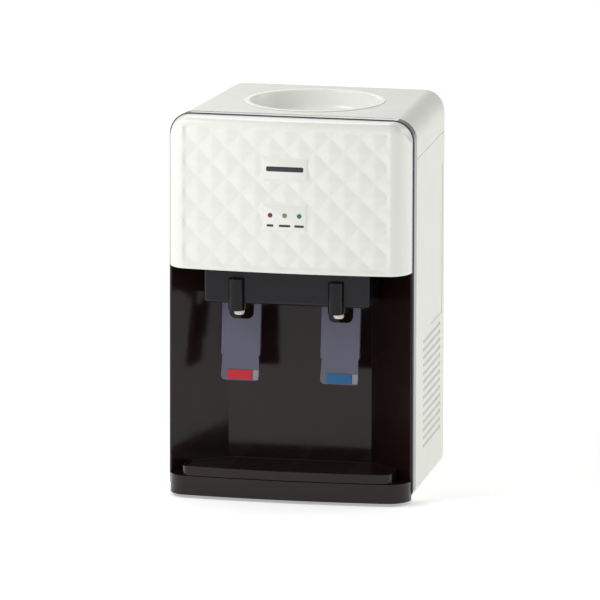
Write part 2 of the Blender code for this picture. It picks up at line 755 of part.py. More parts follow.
def make_tap_housing():
    """Box under the fascia that carries both taps, open at its top, with the bay's ceiling round it."""
    housing = prism("tap_housing", housing_outline(0.0), "Z", HOUSING_LOW, HOUSING_TOP)
    front, rear = PANEL_Y + FIT_GAP, BAY_BACK_Y - FIT_GAP
    wide, narrow = bay_half(front) - 2 * FIT_GAP, bay_half(rear) - 2 * FIT_GAP
    ceiling = [(-wide, front), (wide, front), (narrow, rear), (-narrow, rear)]
    join(housing, prism("bay_ceiling", ceiling, "Z", BAY_TOP - WALL, BAY_TOP))
    cut(housing, prism("housing_hollow", housing_outline(WALL), "Z", HOUSING_LOW + WALL, HEIGHT))
    floor = HOUSING_LOW - OVERCUT, HOUSING_LOW + 2 * WALL
    middle = (LEVER_WIDTH + LEVER_NOTCH) / 4
    wide = (LEVER_WIDTH - LEVER_NOTCH) / 4 + SLIDE_GAP
    swing = 3 * SLIDE_GAP
    for x in (-TAP_X, TAP_X):
        hole = cylinder(f"valve_hole_{x:.3f}", VALVE_RADIUS + FIT_GAP,
                        (x, VALVE_Y, floor[0]), (x, VALVE_Y, floor[1]), 24)
        cut(housing, hole)
        for side in (-1, 1):
            centre = x + side * middle
            low = (centre - wide, PIN_Y - LEVER_FLANGE - swing, floor[0])
            high = (centre + wide, PIN_Y + LEVER_FLANGE + swing, floor[1])
            cut(housing, box(f"lever_slot_{centre:.3f}", low, high))
        z = HOUSING_LOW + STUB_RISE
        rear = BAY_BACK_Y - 2 * WALL, BAY_BACK_Y + WALL
        cut(housing, cylinder(f"housing_pipe_hole_{x:.3f}", STUB_RADIUS + SLIDE_GAP,
                              (x, rear[0], z), (x, rear[1], z), 20))
    finish(housing, housing_plastic())


def make_tap(prefix, x, label_colour):
    """One tap: spout cover, valve, nozzle, plunger, spring, pin, lever and its label."""
    top = HOUSING_LOW + SPOUT_RISE
    y = HOUSING_FRONT_Y - FIT_GAP
    half_round = arc((x, y), SPOUT_RADIUS, 180, 360, 12)
    finish(prism(prefix + "_spout_cover", half_round, "Z", VALVE_LOW, top), black_plastic())

    valve = turned(prefix + "_valve_body",
                   [(NOZZLE_BORE, VALVE_LOW), (VALVE_RADIUS, VALVE_LOW), (VALVE_RADIUS, VALVE_TOP_Z),
                    (STEM_RADIUS + SLIDE_GAP, VALVE_TOP_Z), (STEM_RADIUS + SLIDE_GAP, VALVE_TOP_Z - 0.004),
                    (NOZZLE_BORE, VALVE_TOP_Z - 0.004)], (x, VALVE_Y, 0.0), steps=24)
    lug_front = VALVE_Y + COLLAR_RADIUS + SLIDE_GAP
    ear = (LEVER_NOTCH / 2 - VALVE_RADIUS) / 2
    lug = box(prefix + "_lug", (x - VALVE_RADIUS + ear, lug_front, HOUSING_LOW + STUB_RISE),
              (x + VALVE_RADIUS - ear, PIN_Y, VALVE_TOP_Z - 0.001))
    join(valve, lug)
    neck = box(prefix + "_lug_neck", (x - VALVE_RADIUS + ear, PIN_Y - LUG_RADIUS, HOUSING_LOW + STUB_RISE),
               (x + VALVE_RADIUS - ear, PIN_Y + LUG_RADIUS, PIN_Z))
    join(valve, neck)
    eye_ends = (x - VALVE_RADIUS + ear, PIN_Y, PIN_Z), (x + VALVE_RADIUS - ear, PIN_Y, PIN_Z)
    join(valve, cylinder(prefix + "_lug_eye", LUG_RADIUS, *eye_ends, 16))
    stub_z = HOUSING_LOW + STUB_RISE
    stub_end = BAY_BACK_Y + 4 * WALL
    join(valve, cylinder(prefix + "_inlet", STUB_RADIUS, (x, VALVE_Y + VALVE_RADIUS - 0.001, stub_z),
                         (x, stub_end, stub_z), 16))
    reach = LEVER_WIDTH / 2
    pin_ends = (x - reach, PIN_Y, PIN_Z), (x + reach, PIN_Y, PIN_Z)
    long_ends = (x - reach - OVERCUT, PIN_Y, PIN_Z), (x + reach + OVERCUT, PIN_Y, PIN_Z)
    cut(valve, cylinder(prefix + "_pin_bore", PIN_RADIUS + PIN_CLEARANCE, *long_ends, 16))
    finish(valve, black_plastic())
    finish(cylinder(prefix + "_pivot_pin", PIN_RADIUS, *pin_ends, 16), steel())

    low = VALVE_LOW - FIT_GAP
    nozzle = turned(prefix + "_nozzle",
                    [(NOZZLE_BORE, low - NOZZLE_LENGTH), (NOZZLE_RADIUS - 0.001, low - NOZZLE_LENGTH),
                     (NOZZLE_RADIUS, low - 0.001), (NOZZLE_RADIUS, low), (NOZZLE_BORE, low)],
                    (x, VALVE_Y, 0.0), steps=20)
    finish(nozzle, material("nozzle_white", (0.75, 0.72, 0.66), 0.4))
    make_plunger(prefix, x)
    make_lever(prefix, x, label_colour)


def make_plunger(prefix, x):
    """Valve stem under the lever's bridge, and the spring that lifts it."""
    collar = STEM_TOP - 0.0015
    foot = VALVE_TOP_Z - 0.009
    plunger = turned(prefix + "_plunger",
                     [(0.0, foot), (STEM_RADIUS, foot), (STEM_RADIUS, collar), (COLLAR_RADIUS, collar),
                      (COLLAR_RADIUS, STEM_TOP), (0.0, STEM_TOP)], (x, VALVE_Y, 0.0), steps=16)
    finish(set_origin(plunger, (x, VALVE_Y, STEM_TOP)), black_plastic())
    low = VALVE_TOP_Z + SPRING_WIRE + FIT_GAP
    rise = collar - FIT_GAP - SPRING_WIRE - low
    count = SPRING_TURNS * 8
    coil = []
    for step in range(count + 1):
        angle = 2 * math.pi * SPRING_TURNS * step / count
        coil.append((x + SPRING_RADIUS * math.cos(angle), VALVE_Y + SPRING_RADIUS * math.sin(angle),
                     low + rise * step / count))
    finish(tube(prefix + "_valve_spring", coil, SPRING_WIRE, sides=1), steel())


def make_lever(prefix, x, label_colour):
    """Push lever hung from its pin: two arms, a bridge over the stem and a paddle with a label."""
    wide, notch = LEVER_WIDTH / 2, LEVER_NOTCH / 2
    plate = wide - LEVER_STEP
    corner = LEVER_CORNER
    top, bottom = BRIDGE_RISE + BRIDGE_THICKNESS, -PADDLE_DROP
    turn = NOTCH_CORNER
    right = [(notch, top), (plate, top), (plate, -NOTCH_DROP), (plate - LEVER_TAPER, bottom + PADDLE_HEIGHT)]
    right += arc((plate - corner, bottom + corner), corner, 0, -90, 5)
    notch_low = -NOTCH_DROP
    inner = arc((notch - turn, notch_low + turn), turn, 0, -90, 5)
    left = [(-a, b) for a, b in reversed(right)]
    outline = right + left + [(-a, b) for a, b in inner] + inner[::-1]
    half = LEVER_THICKNESS / 2
    lever = prism(prefix + "_lever", outline, "Y", -half, half)
    for side in (-1, 1):
        inside, outside = sorted((side * (wide - LEVER_EDGE), side * wide))
        low = (inside, -half - LEVER_STEP, bottom + PADDLE_HEIGHT + OVERCUT)
        edge = box(f"{prefix}_lever_edge_{side}", low, (outside, LEVER_FLANGE - half, top - LEVER_STEP))
        join(lever, edge)
        bend_lever(edge, x)
        inside, outside = sorted((side * (notch + LEVER_STEP), side * (wide - 2 * LEVER_STEP)))
        radius = LUG_RADIUS + 2 * LEVER_STEP
        ear = cylinder(f"{prefix}_lever_ear_{side}", radius, (inside, 0, 0), (outside, 0, 0), 12)
        join(lever, ear)
        ear.location = (x, PIN_Y, PIN_Z)
    bend_lever(lever, x)
    front = VALVE_Y - STEM_RADIUS - PIN_Y
    reach = wide - 3 * LEVER_STEP
    bridge = box(prefix + "_lever_bridge", (x - reach, PIN_Y + front, BRIDGE_LOW),
                 (x + reach, PIN_Y + half - LEVER_STEP, BRIDGE_LOW + BRIDGE_THICKNESS))
    join(lever, bridge)
    reach = wide + OVERCUT
    bore = cylinder(prefix + "_lever_bore", PIN_RADIUS + PIN_CLEARANCE,
                    (x - reach, PIN_Y, PIN_Z), (x + reach, PIN_Y, PIN_Z), 16)
    cut(lever, bore)
    finish(lever, smoke_plastic())
    low = bottom + LABEL_LIFT
    label = box(prefix + "_lever_label", (-LABEL_WIDTH / 2, -half - FIT_GAP - LABEL_THICKNESS, low),
                (LABEL_WIDTH / 2, -half - FIT_GAP, low + LABEL_HEIGHT))
    bend_lever(label, x)
    finish(label, material(prefix + "_label", label_colour, 0.3))


def bend_lever(item, x):
    """Lean a lever piece forward about its pin, and set its origin on the pin's axis."""
    item.data.transform(Matrix.Rotation(-LEVER_LEAN, 4, "X"))
    item.location = (x, PIN_Y, PIN_Z)


def tray_outline(inset):
    """Plan of the drip tray: bowed front, round corners, rear corners along the flared walls."""
    half = TRAY_HALF_WIDTH - inset
    front = PLINTH_Y + TRAY_STEP + inset
    flat = half - TRAY_CORNER + inset
    bow = []
    for step in range(-8, 9):
        x = flat * step / 8
        bow.append((x, front + FRONT_BOW * (x / FRONT_HALF) ** 2))
    turn = arc((flat, bow[-1][1] + half - flat), half - flat, 270, 360, 5)[1:]
    bow = [(-x, y) for x, y in reversed(turn)] + bow + turn
    slope = BAY_FLARE / BAY_DEPTH
    flare_y = PANEL_Y + (BAY_FRONT_HALF - half - SLIDE_GAP - 1.6 * inset) / slope
    rear = BAY_BACK_Y - SLIDE_GAP - inset
    rear_half = bay_half(rear) - SLIDE_GAP - 1.6 * inset
    return bow + [(half, flare_y), (rear_half, rear), (-rear_half, rear), (-half, flare_y)]


def make_drip_tray():
    """Tray that slides out of the bay, with its lift-out grille."""
    tray = prism("drip_tray", tray_outline(0.0), "Z", TRAY_LOW, TRAY_TOP)
    seat = GRILLE_TOP - GRILLE_THICKNESS - FIT_GAP
    cut(tray, prism("tray_upper", tray_outline(WALL), "Z", seat, TRAY_TOP + OVERCUT))
    cut(tray, prism("tray_lower", tray_outline(WALL + TRAY_LEDGE), "Z", TRAY_LOW + TRAY_FLOOR, TRAY_TOP))
    finish(tray, black_plastic())
    outline = tray_outline(WALL + FIT_GAP)
    grille = prism("drip_grille", outline, "Z", seat + FIT_GAP, GRILLE_TOP)
    first, last = HOUSING_FRONT_Y + 0.006, BAY_BACK_Y - 0.012
    for row in range(GRILLE_ROWS):
        y = first + (last - first) * row / (GRILLE_ROWS - 1)
        for side in (-1, 1):
            inside, outside = sorted((side * 0.004, side * (0.004 + GRILLE_SLOT_LENGTH)))
            low = (inside, y - GRILLE_SLOT / 2, TRAY_LOW)
            cut(grille, box(f"grille_slot_{row}_{side}", low, (outside, y + GRILLE_SLOT / 2, HEIGHT)))
    finish(grille, black_plastic())


def make_receiver():
    """Bottle receiver with its feed spike, gasket and the cold tank under it."""
    wall = RECEIVER_WALL
    lip_low = CASING_TOP + FIT_GAP
    neck_top = HEIGHT - BOWL_DEPTH
    profile = [(BOWL_RADIUS - 0.001, HEIGHT), (LIP_RADIUS - 0.001, HEIGHT), (LIP_RADIUS, lip_low),
               (BOWL_RADIUS + wall, lip_low), (BOWL_RADIUS + wall - 0.001, HEIGHT - 0.022),
               (NECK_RADIUS + wall + 0.012, neck_top + 0.010), (NECK_RADIUS + wall, neck_top),
               (NECK_RADIUS + wall, NECK_LOW), (NECK_RADIUS, NECK_LOW), (NECK_RADIUS, neck_top + wall),
               (NECK_RADIUS + 0.011, neck_top + 0.011 + wall), (BOWL_RADIUS - wall, HEIGHT - 0.022),
               (BOWL_RADIUS - 0.002, HEIGHT - 0.003)]
    receiver = turned("bottle_receiver", profile, (0, WELL_Y, 0), steps=36)
    finish(set_origin(receiver, (0, WELL_Y, HEIGHT)), white_plastic())
    seat = NECK_LOW + 0.003
    bore = SPIKE_RADIUS - 0.003
    spike = turned("feed_spike",
                   [(bore, seat), (NECK_RADIUS - FIT_GAP, seat), (NECK_RADIUS - FIT_GAP, seat + 0.002),
                    (SPIKE_RADIUS, seat + 0.002), (SPIKE_RADIUS - 0.001, seat + SPIKE_HEIGHT - 0.006),
                    (bore, seat + SPIKE_HEIGHT)], (0, WELL_Y, 0), steps=20)
    finish(spike, white_plastic())
    low = TANK_TOP + FIT_GAP
    inner = NECK_RADIUS - 0.001
    ring = [(inner, low), (inner + GASKET_WIDTH, low), (inner + GASKET_WIDTH, low + GASKET_HEIGHT),
            (inner, low + GASKET_HEIGHT)]
    finish(turned("reservoir_gasket", ring, (0, WELL_Y, 0), steps=24), rubber())


def make_cold_side():
    """Cold tank, baffle, foam jacket and the cooling stack behind it."""
    r, w = TANK_RADIUS, TANK_WALL
    cup = [(0.0, TANK_LOW), (r, TANK_LOW), (r, TANK_TOP), (r - 0.012, TANK_TOP), (r - 0.012, TANK_TOP - w),
           (r - w, TANK_TOP - w), (r - w, TANK_LOW + w), (0.0, TANK_LOW + w)]
    finish(turned("cold_tank", cup, (0, TANK_Y, 0), steps=28), steel())
    middle = FAN_Z
    ring_r = r - w - FIT_GAP
    ring = [(BAFFLE_HOLE, middle), (ring_r, middle), (ring_r, middle + BAFFLE_THICKNESS),
            (BAFFLE_HOLE, middle + BAFFLE_THICKNESS)]
    finish(turned("baffle_plate", ring, (0, TANK_Y, 0), steps=28), white_plastic())
    inner, outer = r + FIT_GAP, r + INSULATION
    jacket_low = TANK_LOW - INSULATION + 0.002
    jacket = [(0.0, jacket_low), (outer, jacket_low), (outer, TANK_TOP - 0.004), (inner, TANK_TOP - 0.004),
              (inner, TANK_LOW - FIT_GAP), (0.0, TANK_LOW - FIT_GAP)]
    foam_jacket = turned("tank_insulation", jacket, (0, TANK_Y, 0), steps=28)
    half = COLD_BLOCK / 2
    gap = FIT_GAP
    window = box("block_window", (-half - gap, TANK_Y + r / 2, middle - half - gap),
                 (half + gap, TANK_Y + 2 * r, middle + half + gap))
    cut(foam_jacket, window)
    for x in (-TAP_X / 2, TAP_X / 2):
        ends = (x, TANK_Y, jacket_low - OVERCUT), (x, TANK_Y, TANK_LOW)
        cut(foam_jacket, cylinder(f"jacket_hose_hole_{x:.3f}", HOSE_RADIUS + SLIDE_GAP, *ends, 20))
    finish(foam_jacket, foam())

    block = box("cold_block", (-half, TANK_Y + r - 0.008, middle - half), (half, BLOCK_END_Y, middle + half))
    cut(block, cylinder("tank_seat", r + gap, (0, TANK_Y, TANK_LOW), (0, TANK_Y, TANK_TOP), 56))
    finish(block, aluminium())
    low = (-half, PELTIER_Y, middle - half)
    finish(box("peltier_module", low, (half, PELTIER_Y + PELTIER_THICKNESS, middle + half)),
           material("ceramic", (0.80, 0.80, 0.78), 0.5))
    make_heat_sink()
    make_fan()


def make_heat_sink():
    """Finned heat sink between the module and the fan."""
    half = SINK_SIZE / 2
    outline = [(half, SINK_Y), (-half, SINK_Y)]
    pitch = (SINK_SIZE - SINK_FIN) / (SINK_FINS - 1)
    for fin in range(SINK_FINS):
        left = -half + fin * pitch
        right = left + SINK_FIN
        outline += [(left, SINK_Y + SINK_DEPTH), (right, SINK_Y + SINK_DEPTH)]
        if fin < SINK_FINS - 1:
            outline += [(right, SINK_Y + SINK_BASE), (left + pitch, SINK_Y + SINK_BASE)]
    sink = prism("heat_sink", outline, "Z", FAN_Z - half, FAN_Z + half)
    finish(sink, aluminium())


def make_fan():
    """Fan frame with its struts, the bladed rotor, and the guard outside the rear panel."""
    half = SINK_SIZE / 2
    frame = box("fan_frame", (-half, FAN_Y, FAN_Z - half), (half, FAN_Y + FAN_DEPTH, FAN_Z + half))
    strut = 0.002
    ring = turned("fan_way", [(FAN_HUB, FAN_Y + strut), (FAN_HUB, FAN_Y - OVERCUT),
                              (FAN_RADIUS, FAN_Y - OVERCUT), (FAN_RADIUS, FAN_Y + FAN_DEPTH + OVERCUT),
                              (0.0, FAN_Y + FAN_DEPTH + OVERCUT), (0.0, FAN_Y + strut)],
                  (0, 0, FAN_Z), axis="Y", steps=28)
    cut(frame, ring)
    reach = FAN_RADIUS + 0.001
    struts = ("fan_strut_across", (reach, FAN_STRUT / 2)), ("fan_strut_up", (FAN_STRUT / 2, reach))
    for name, size in struts:
        low = (-size[0], FAN_Y, FAN_Z - size[1])
        join(frame, box(name, low, (size[0], FAN_Y + strut, FAN_Z + size[1])))
    finish(frame, rubber())

    near, far = FAN_Y + strut + SLIDE_GAP, FAN_Y + FAN_DEPTH - SLIDE_GAP
    middle = Vector((0, (near + far) / 2, FAN_Z))
    rotor = cylinder("fan_rotor", FAN_HUB, (0, near, FAN_Z), (0, far, FAN_Z), 24)
    length = FAN_RADIUS - FAN_TIP_GAP - FAN_HUB + 0.002
    for blade in range(FAN_BLADES):
        vane = box(f"fan_blade_{blade}", (-0.0045, -0.0006, 0.0), (0.0045, 0.0006, length))
        pitch = Matrix.Rotation(math.radians(38), 4, "Z")
        place = Matrix.Rotation(2 * math.pi * blade / FAN_BLADES, 4, "Y")
        vane.data.transform(place @ Matrix.Translation((0, 0, FAN_HUB - 0.002)) @ pitch)
        vane.location = middle
        join(rotor, vane)
    finish(set_origin(rotor, middle), rubber())

    start, end = REAR_PANEL_Y + FIT_GAP, DEPTH / 2
    rim = GUARD_RADIUS - 0.003
    guard = cylinder("fan_guard", GUARD_RADIUS, (0, start, FAN_Z), (0, end, FAN_Z), 32)
    ends = (0, start - OVERCUT, FAN_Z), (0, end - GUARD_FACE, FAN_Z)
    cut(guard, cylinder("guard_hollow", rim, *ends, 32))
    pitch = (rim - 0.008) / GUARD_RINGS
    for ring_number in range(GUARD_RINGS):
        inner = 0.008 + pitch * ring_number
        outer = inner + pitch * 0.62
        slot = [(inner, start - OVERCUT), (outer, start - OVERCUT),
                (outer, end + OVERCUT), (inner, end + OVERCUT)]
        ring = turned(f"guard_slot_{ring_number}", slot, (0, 0, FAN_Z), axis="Y", steps=24)
        for name, size in (("across", (rim, 0.002)), ("up", (0.002, rim))):
            low = (-size[0], start - 2 * OVERCUT, FAN_Z - size[1])
            bar = box(f"guard_bar_{name}_{ring_number}", low, (size[0], end + 2 * OVERCUT, FAN_Z + size[1]))
            cut(ring, bar)
        cut(guard, ring)
    finish(guard, rubber())


def make_hot_side():
    """Hot tank with its drain pipe, and the heating element plugged into its top."""
    r, w = HOT_RADIUS, TANK_WALL
    hole = HEATER_PLUG + FIT_GAP
    cup = [(0.0, HOT_LOW), (r, HOT_LOW), (r, HOT_TOP), (hole, HOT_TOP), (hole, HOT_TOP - w),
           (r - w, HOT_TOP - w), (r - w, HOT_LOW + w), (0.0, HOT_LOW + w)]
    tank = turned("hot_tank", cup, (HOT_X, HOT_Y, 0), steps=28)
    z = HOT_LOW + DRAIN_LIFT
    start = HOT_Y + r - 1.5 * w
    join(tank, cylinder("drain_pipe", DRAIN_RADIUS, (HOT_X, start, z), (HOT_X, DEPTH / 2 - 0.0022, z), 16))
    finish(tank, steel())
    low, high = HOT_LOW + 0.020, HOT_TOP + 0.004
    half = HEATER_PLUG / 2
    leg = [(-half, high - 0.003 - (high - low) * step / 6) for step in range(5)]
    bend = arc((0.0, low + half), half, 180, 360, 8)
    path = [(HOT_X + a, HOT_Y, b) for a, b in leg + bend + [(-a, b) for a, b in reversed(leg)]]
    element = cylinder("heating_element", HEATER_PLUG, (HOT_X, HOT_Y, HOT_TOP - w), (HOT_X, HOT_Y, high), 20)
    join(element, tube("heater_tube", path, 0.003))
    finish(element, steel())
    centre = (HOT_X, 0.0, z)
    start = REAR_PANEL_Y + FIT_GAP
    bore = DRAIN_RADIUS + FIT_GAP
    end = DEPTH / 2
    cap = turned("drain_cap", [(bore, start), (CAP_RADIUS, start), (CAP_RADIUS - 0.001, end), (0.0, end),
                               (0.0, end - 0.0018), (bore, end - 0.0018)], centre, axis="Y", steps=20)
    finish(set_origin(cap, (HOT_X, start, z)), white_plastic())


def smooth_route(points, count=14):
    """Sample a smooth curve with straight ends, from first point to last, steered by the other two."""
    first, b, c, last = (Vector(point) for point in points)
    a = first + (b - first).normalized() * HOSE_RADIUS
    d = last + (c - last).normalized() * HOSE_RADIUS
    route = [tuple(first)]
    for step in range(count + 1):
        t = step / count
        s = 1.0 - t
        route.append(tuple(a * s ** 3 + 3 * b * s * s * t + 3 * c * s * t * t + d * t ** 3))
    return route + [tuple(last)]


def make_hoses():
    """Cold, hot and feed hoses between the tanks and the taps."""
    gap = FIT_GAP
    start_y, z = BAY_BACK_Y + 4 * WALL + gap, HOUSING_LOW + STUB_RISE
    under = TANK_LOW - gap
    run = 0.030
    x = TAP_X / 2
    cold = [(TAP_X, start_y, z), (TAP_X, start_y + run, z), (x, TANK_Y, z - run), (x, TANK_Y, under)]
    finish(tube("cold_hose", smooth_route(cold), HOSE_RADIUS), silicone())
    top = HOT_TOP + gap
    hot_y = HOT_Y - HOT_RADIUS + 0.012
    hot = [(-TAP_X, start_y, z), (-TAP_X, start_y + run, z), (HOT_X, hot_y, z), (HOT_X, hot_y, top)]
    finish(tube("hot_hose", smooth_route(hot), HOSE_RADIUS), silicone())
    feed_x, feed_y = HOT_X + HOT_RADIUS - 0.014, HOT_Y + 0.004
    feed = [(-x, TANK_Y, under), (-x, TANK_Y, under - run), (feed_x, feed_y, top + run),
            (feed_x, feed_y, top)]
    finish(tube("feed_hose", smooth_route(feed), HOSE_RADIUS), silicone())


def make_electrics():
    """Power board, switch bezel with two rockers, and the cord bush."""
    wall_x = side_half(CASING_REAR_Y) - WALL
    x, y, z = wall_x - 0.014, 0.005, FOOT_HEIGHT + 0.060
    board = box("power_board", (x, y, z), (x + BOARD_THICKNESS, y + 0.090, z + 0.095))
    blocks = ((0.010, 0.012, 0.034, 0.040, 0.028), (0.010, 0.062, 0.020, 0.025, 0.018),
              (0.062, 0.020, 0.024, 0.030, 0.015))
    for number, (along, up, long, tall, thick) in enumerate(blocks):
        low = (x - thick, y + along, z + up)
        join(board, box(f"board_block_{number}", low, (x + 0.0005, y + along + long, z + up + tall)))
    finish(board, material("circuit_board", (0.03, 0.14, 0.05), 0.5))

    start = REAR_PANEL_Y + FIT_GAP
    depth = BEZEL_DEPTH
    wide = ROCKER_PITCH / 2 + ROCKER_WIDTH / 2 + BEZEL_MARGIN
    tall = ROCKER_HEIGHT / 2 + BEZEL_MARGIN
    bezel = box("switch_bezel", (SWITCH_X - wide, start, SWITCH_Z - tall),
                (SWITCH_X + wide, start + depth, SWITCH_Z + tall))
    pivot_y = start + depth / 2
    for name, side, colour in (("hot_switch_rocker", -1, (0.45, 0.03, 0.03)),
                               ("cold_switch_rocker", 1, (0.03, 0.20, 0.08))):
        x = SWITCH_X + side * ROCKER_PITCH / 2
        half, up = ROCKER_WIDTH / 2, ROCKER_HEIGHT / 2
        low = (x - half - FIT_GAP, start - OVERCUT, SWITCH_Z - up - SLIDE_GAP)
        high = (x + half + FIT_GAP, start + depth + OVERCUT, SWITCH_Z + up + SLIDE_GAP)
        cut(bezel, box(name + "_way", low, high))
        shoulder = up * 0.92
        profile = [(-ROCKER_ROOT, -up / 2), (ROCKER_SIDE, -up), (ROCKER_PROUD, -shoulder), (ROCKER_DIP, 0.0),
                   (ROCKER_PROUD, shoulder), (ROCKER_SIDE, up), (-ROCKER_ROOT, up / 2)]
        rocker = prism(name, profile, "X", -half, half)
        rocker.data.transform(Matrix.Rotation(-ROCKER_TILT, 4, "X"))
        rocker.location = (x, pivot_y, SWITCH_Z)
        finish(rocker, material(name, colour, 0.3))
    finish(bezel, rubber())

    end = DEPTH / 2 - 0.0005
    neck, inside = BUSH_RADIUS - BUSH_GROOVE, REAR_INNER_Y - BUSH_TAIL
    bush = turned("cord_bush", [(BUSH_BORE, inside), (neck, inside), (neck, start), (BUSH_RADIUS, start),
                                (BUSH_RADIUS - BUSH_CHAMFER, end), (BUSH_BORE, end)],
                  (BUSH_X, 0, BUSH_Z), axis="Y", steps=20)
    finish(bush, rubber())


def make_feet():
    """Two front feet with stems up to the bay floor, and two rear feet under the pan."""
    top = FOOT_HEIGHT - FIT_GAP
    disc = [(0.0, 0.0), (FOOT_RADIUS - 0.001, 0.0), (FOOT_RADIUS, 0.001), (FOOT_RADIUS, top)]
    stem_top = BAY_FLOOR - WALL - FIT_GAP
    stem = [(FOOT_STEM, top), (FOOT_STEM, stem_top), (0.0, stem_top)]
    x = WIDTH / 2 - FOOT_INSET_X
    for name, side in (("left", -1), ("right", 1)):
        y = FRONT_Y + FOOT_INSET_FRONT
        finish(turned(f"foot_front_{name}", disc + stem, (side * x, y, 0), steps=16), rubber())
        y = CASING_REAR_Y - FOOT_INSET_REAR
        finish(turned(f"foot_rear_{name}", disc + [(0.0, top)], (side * x, y, 0), steps=16), rubber())


def parent_moving_pieces():
    """Hang each label on its lever, and each moving set on an empty at its joint."""
    for prefix, x in (("hot", -TAP_X), ("cold", TAP_X)):
        pivot = add_object(prefix + "_lever_axis", None)
        pivot.location = (x, PIN_Y, PIN_Z)
        for part in ("_lever", "_lever_label"):
            item = bpy.data.objects[prefix + part]
            item.parent = pivot
            item.location = (0, 0, 0)
    lift = add_object("receiver_lift", None)
    lift.location = (0, WELL_Y, HEIGHT)
    for name in ("bottle_receiver", "feed_spike"):
        item = bpy.data.objects[name]
        item.parent = lift
        item.location = Vector(item.location) - Vector(lift.location)
    slide = add_object("tray_slide", None)
    slide.location = (0, PLINTH_Y + TRAY_STEP, TRAY_LOW)
    for name in ("drip_tray", "drip_grille"):
        item = bpy.data.objects[name]
        item.parent = slide
        item.location = Vector(item.location) - Vector(slide.location)


def main():
    """Build the dispenser."""
    clear_scene()
    make_casing()
    make_fascia()
    make_bay()
    make_tap_housing()
    make_tap("hot", -TAP_X, (0.58, 0.03, 0.05))
    make_tap("cold", TAP_X, (0.015, 0.125, 0.27))
    make_drip_tray()
    make_receiver()
    make_cold_side()
    make_hot_side()
    make_hoses()
    make_electrics()
    make_feet()
    parent_moving_pieces()


main()
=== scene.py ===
"""Countertop hot and cold water dispenser: its looks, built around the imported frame.

Metres, +Z up, the front faces -Y. Each sub-assembly is a class. The sizes of a detailed piece repeat the
frame's own sizes, and places come from the frame's boxes.
"""

import json
import logging
import math
from collections.abc import Callable, Sequence
from dataclasses import dataclass, replace
from enum import Enum

import bmesh
import bpy
from mathutils import Matrix, Vector


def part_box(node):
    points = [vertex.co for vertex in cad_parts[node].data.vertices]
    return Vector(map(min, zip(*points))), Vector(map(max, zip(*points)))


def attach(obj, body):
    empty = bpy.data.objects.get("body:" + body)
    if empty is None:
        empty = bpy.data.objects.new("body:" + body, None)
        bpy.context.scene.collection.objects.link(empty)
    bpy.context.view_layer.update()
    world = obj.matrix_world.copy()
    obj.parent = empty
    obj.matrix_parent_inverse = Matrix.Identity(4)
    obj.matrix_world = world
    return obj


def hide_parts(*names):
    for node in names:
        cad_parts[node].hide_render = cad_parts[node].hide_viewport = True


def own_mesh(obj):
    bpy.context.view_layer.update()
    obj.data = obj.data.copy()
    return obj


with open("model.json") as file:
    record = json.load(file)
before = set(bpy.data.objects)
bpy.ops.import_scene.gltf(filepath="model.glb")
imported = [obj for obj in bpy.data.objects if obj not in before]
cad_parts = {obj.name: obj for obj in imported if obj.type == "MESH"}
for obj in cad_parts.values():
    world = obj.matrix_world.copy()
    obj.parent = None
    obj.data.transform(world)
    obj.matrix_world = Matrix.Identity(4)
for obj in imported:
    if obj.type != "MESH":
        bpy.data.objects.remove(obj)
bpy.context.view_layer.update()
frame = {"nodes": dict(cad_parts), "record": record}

MM = 0.001
# Metres: points closer than WELD are one, and an edge shorter than SLIVER is none
WELD = 1e-6
SLIVER = 1e-7
# Degrees: faces within FLAT_ANGLE of each other are one, and an edge over SHARP_ANGLE is rounded
FLAT_ANGLE = 0.6
SHARP_ANGLE = 30.0
LOG = logging.getLogger("dispenser")
Point = Sequence[float]
Two = tuple[float, float]
Path2D = list[Two]
Shape = bmesh.types.BMesh
Tree = bpy.types.NodeTree
Socket = bpy.types.NodeSocket


def linear(code: str) -> tuple[float, float, float, float]:
    """Turn an sRGB hex colour into linear light.

    Args:
        code: A colour such as "#F4F5F0".

    Returns:
        Red, green, blue and a full alpha.
    """
    parts = [int(code[at:at + 2], 16) / 255 for at in (1, 3, 5)]
    red, green, blue = (c / 12.92 if c <= 0.04045 else ((c + 0.055) / 1.055) ** 2.4 for c in parts)
    return red, green, blue, 1.0


def per_metre(size_mm: float) -> float:
    """Return a pattern's scale for features of a real size in millimetres."""
    return 1.0 / (size_mm * MM)


def add_node(tree: Tree, kind: str, inputs: dict | None = None, **settings) -> bpy.types.Node:
    """Add a node with its settings, values and links.

    Args:
        tree: The node tree that takes it.
        kind: The node's Blender type.
        inputs: A value, or the output socket to link from, for each input by name or number.
        settings: The node's own properties.

    Returns:
        The new node.
    """
    node = tree.nodes.new(kind)
    for name, value in settings.items():
        setattr(node, name, value)
    for name, value in (inputs or {}).items():
        if isinstance(value, Socket):
            tree.links.new(value, node.inputs[name])
        else:
            node.inputs[name].default_value = value
    return node


def noise(tree: Tree, spot: Socket, size_mm: float, detail: float, roughness: float = 0.5) -> Socket:
    """Add a noise pattern with features of a real size."""
    inputs = {"Vector": spot, "Scale": per_metre(size_mm), "Detail": detail, "Roughness": roughness}
    return add_node(tree, "ShaderNodeTexNoise", inputs).outputs[0]


def remap(tree: Tree, value: Socket, given: Two, wanted: Two) -> Socket:
    """Add a node that takes one range of values to another."""
    return add_node(tree, "ShaderNodeMapRange", dict(enumerate((value, *given, *wanted)))).outputs[0]


class Surface(Enum):
    """How a surface was made: its grain's stretch along x, y and z, and whether the grain is of beads."""

    MOULDED = ((1.0, 1.0, 1.0), False)
    POLISHED = ((1.0, 1.0, 0.6), False)
    BRUSHED = ((1.0, 1.0, 0.03), False)
    BEADED = ((1.0, 1.0, 1.0), True)


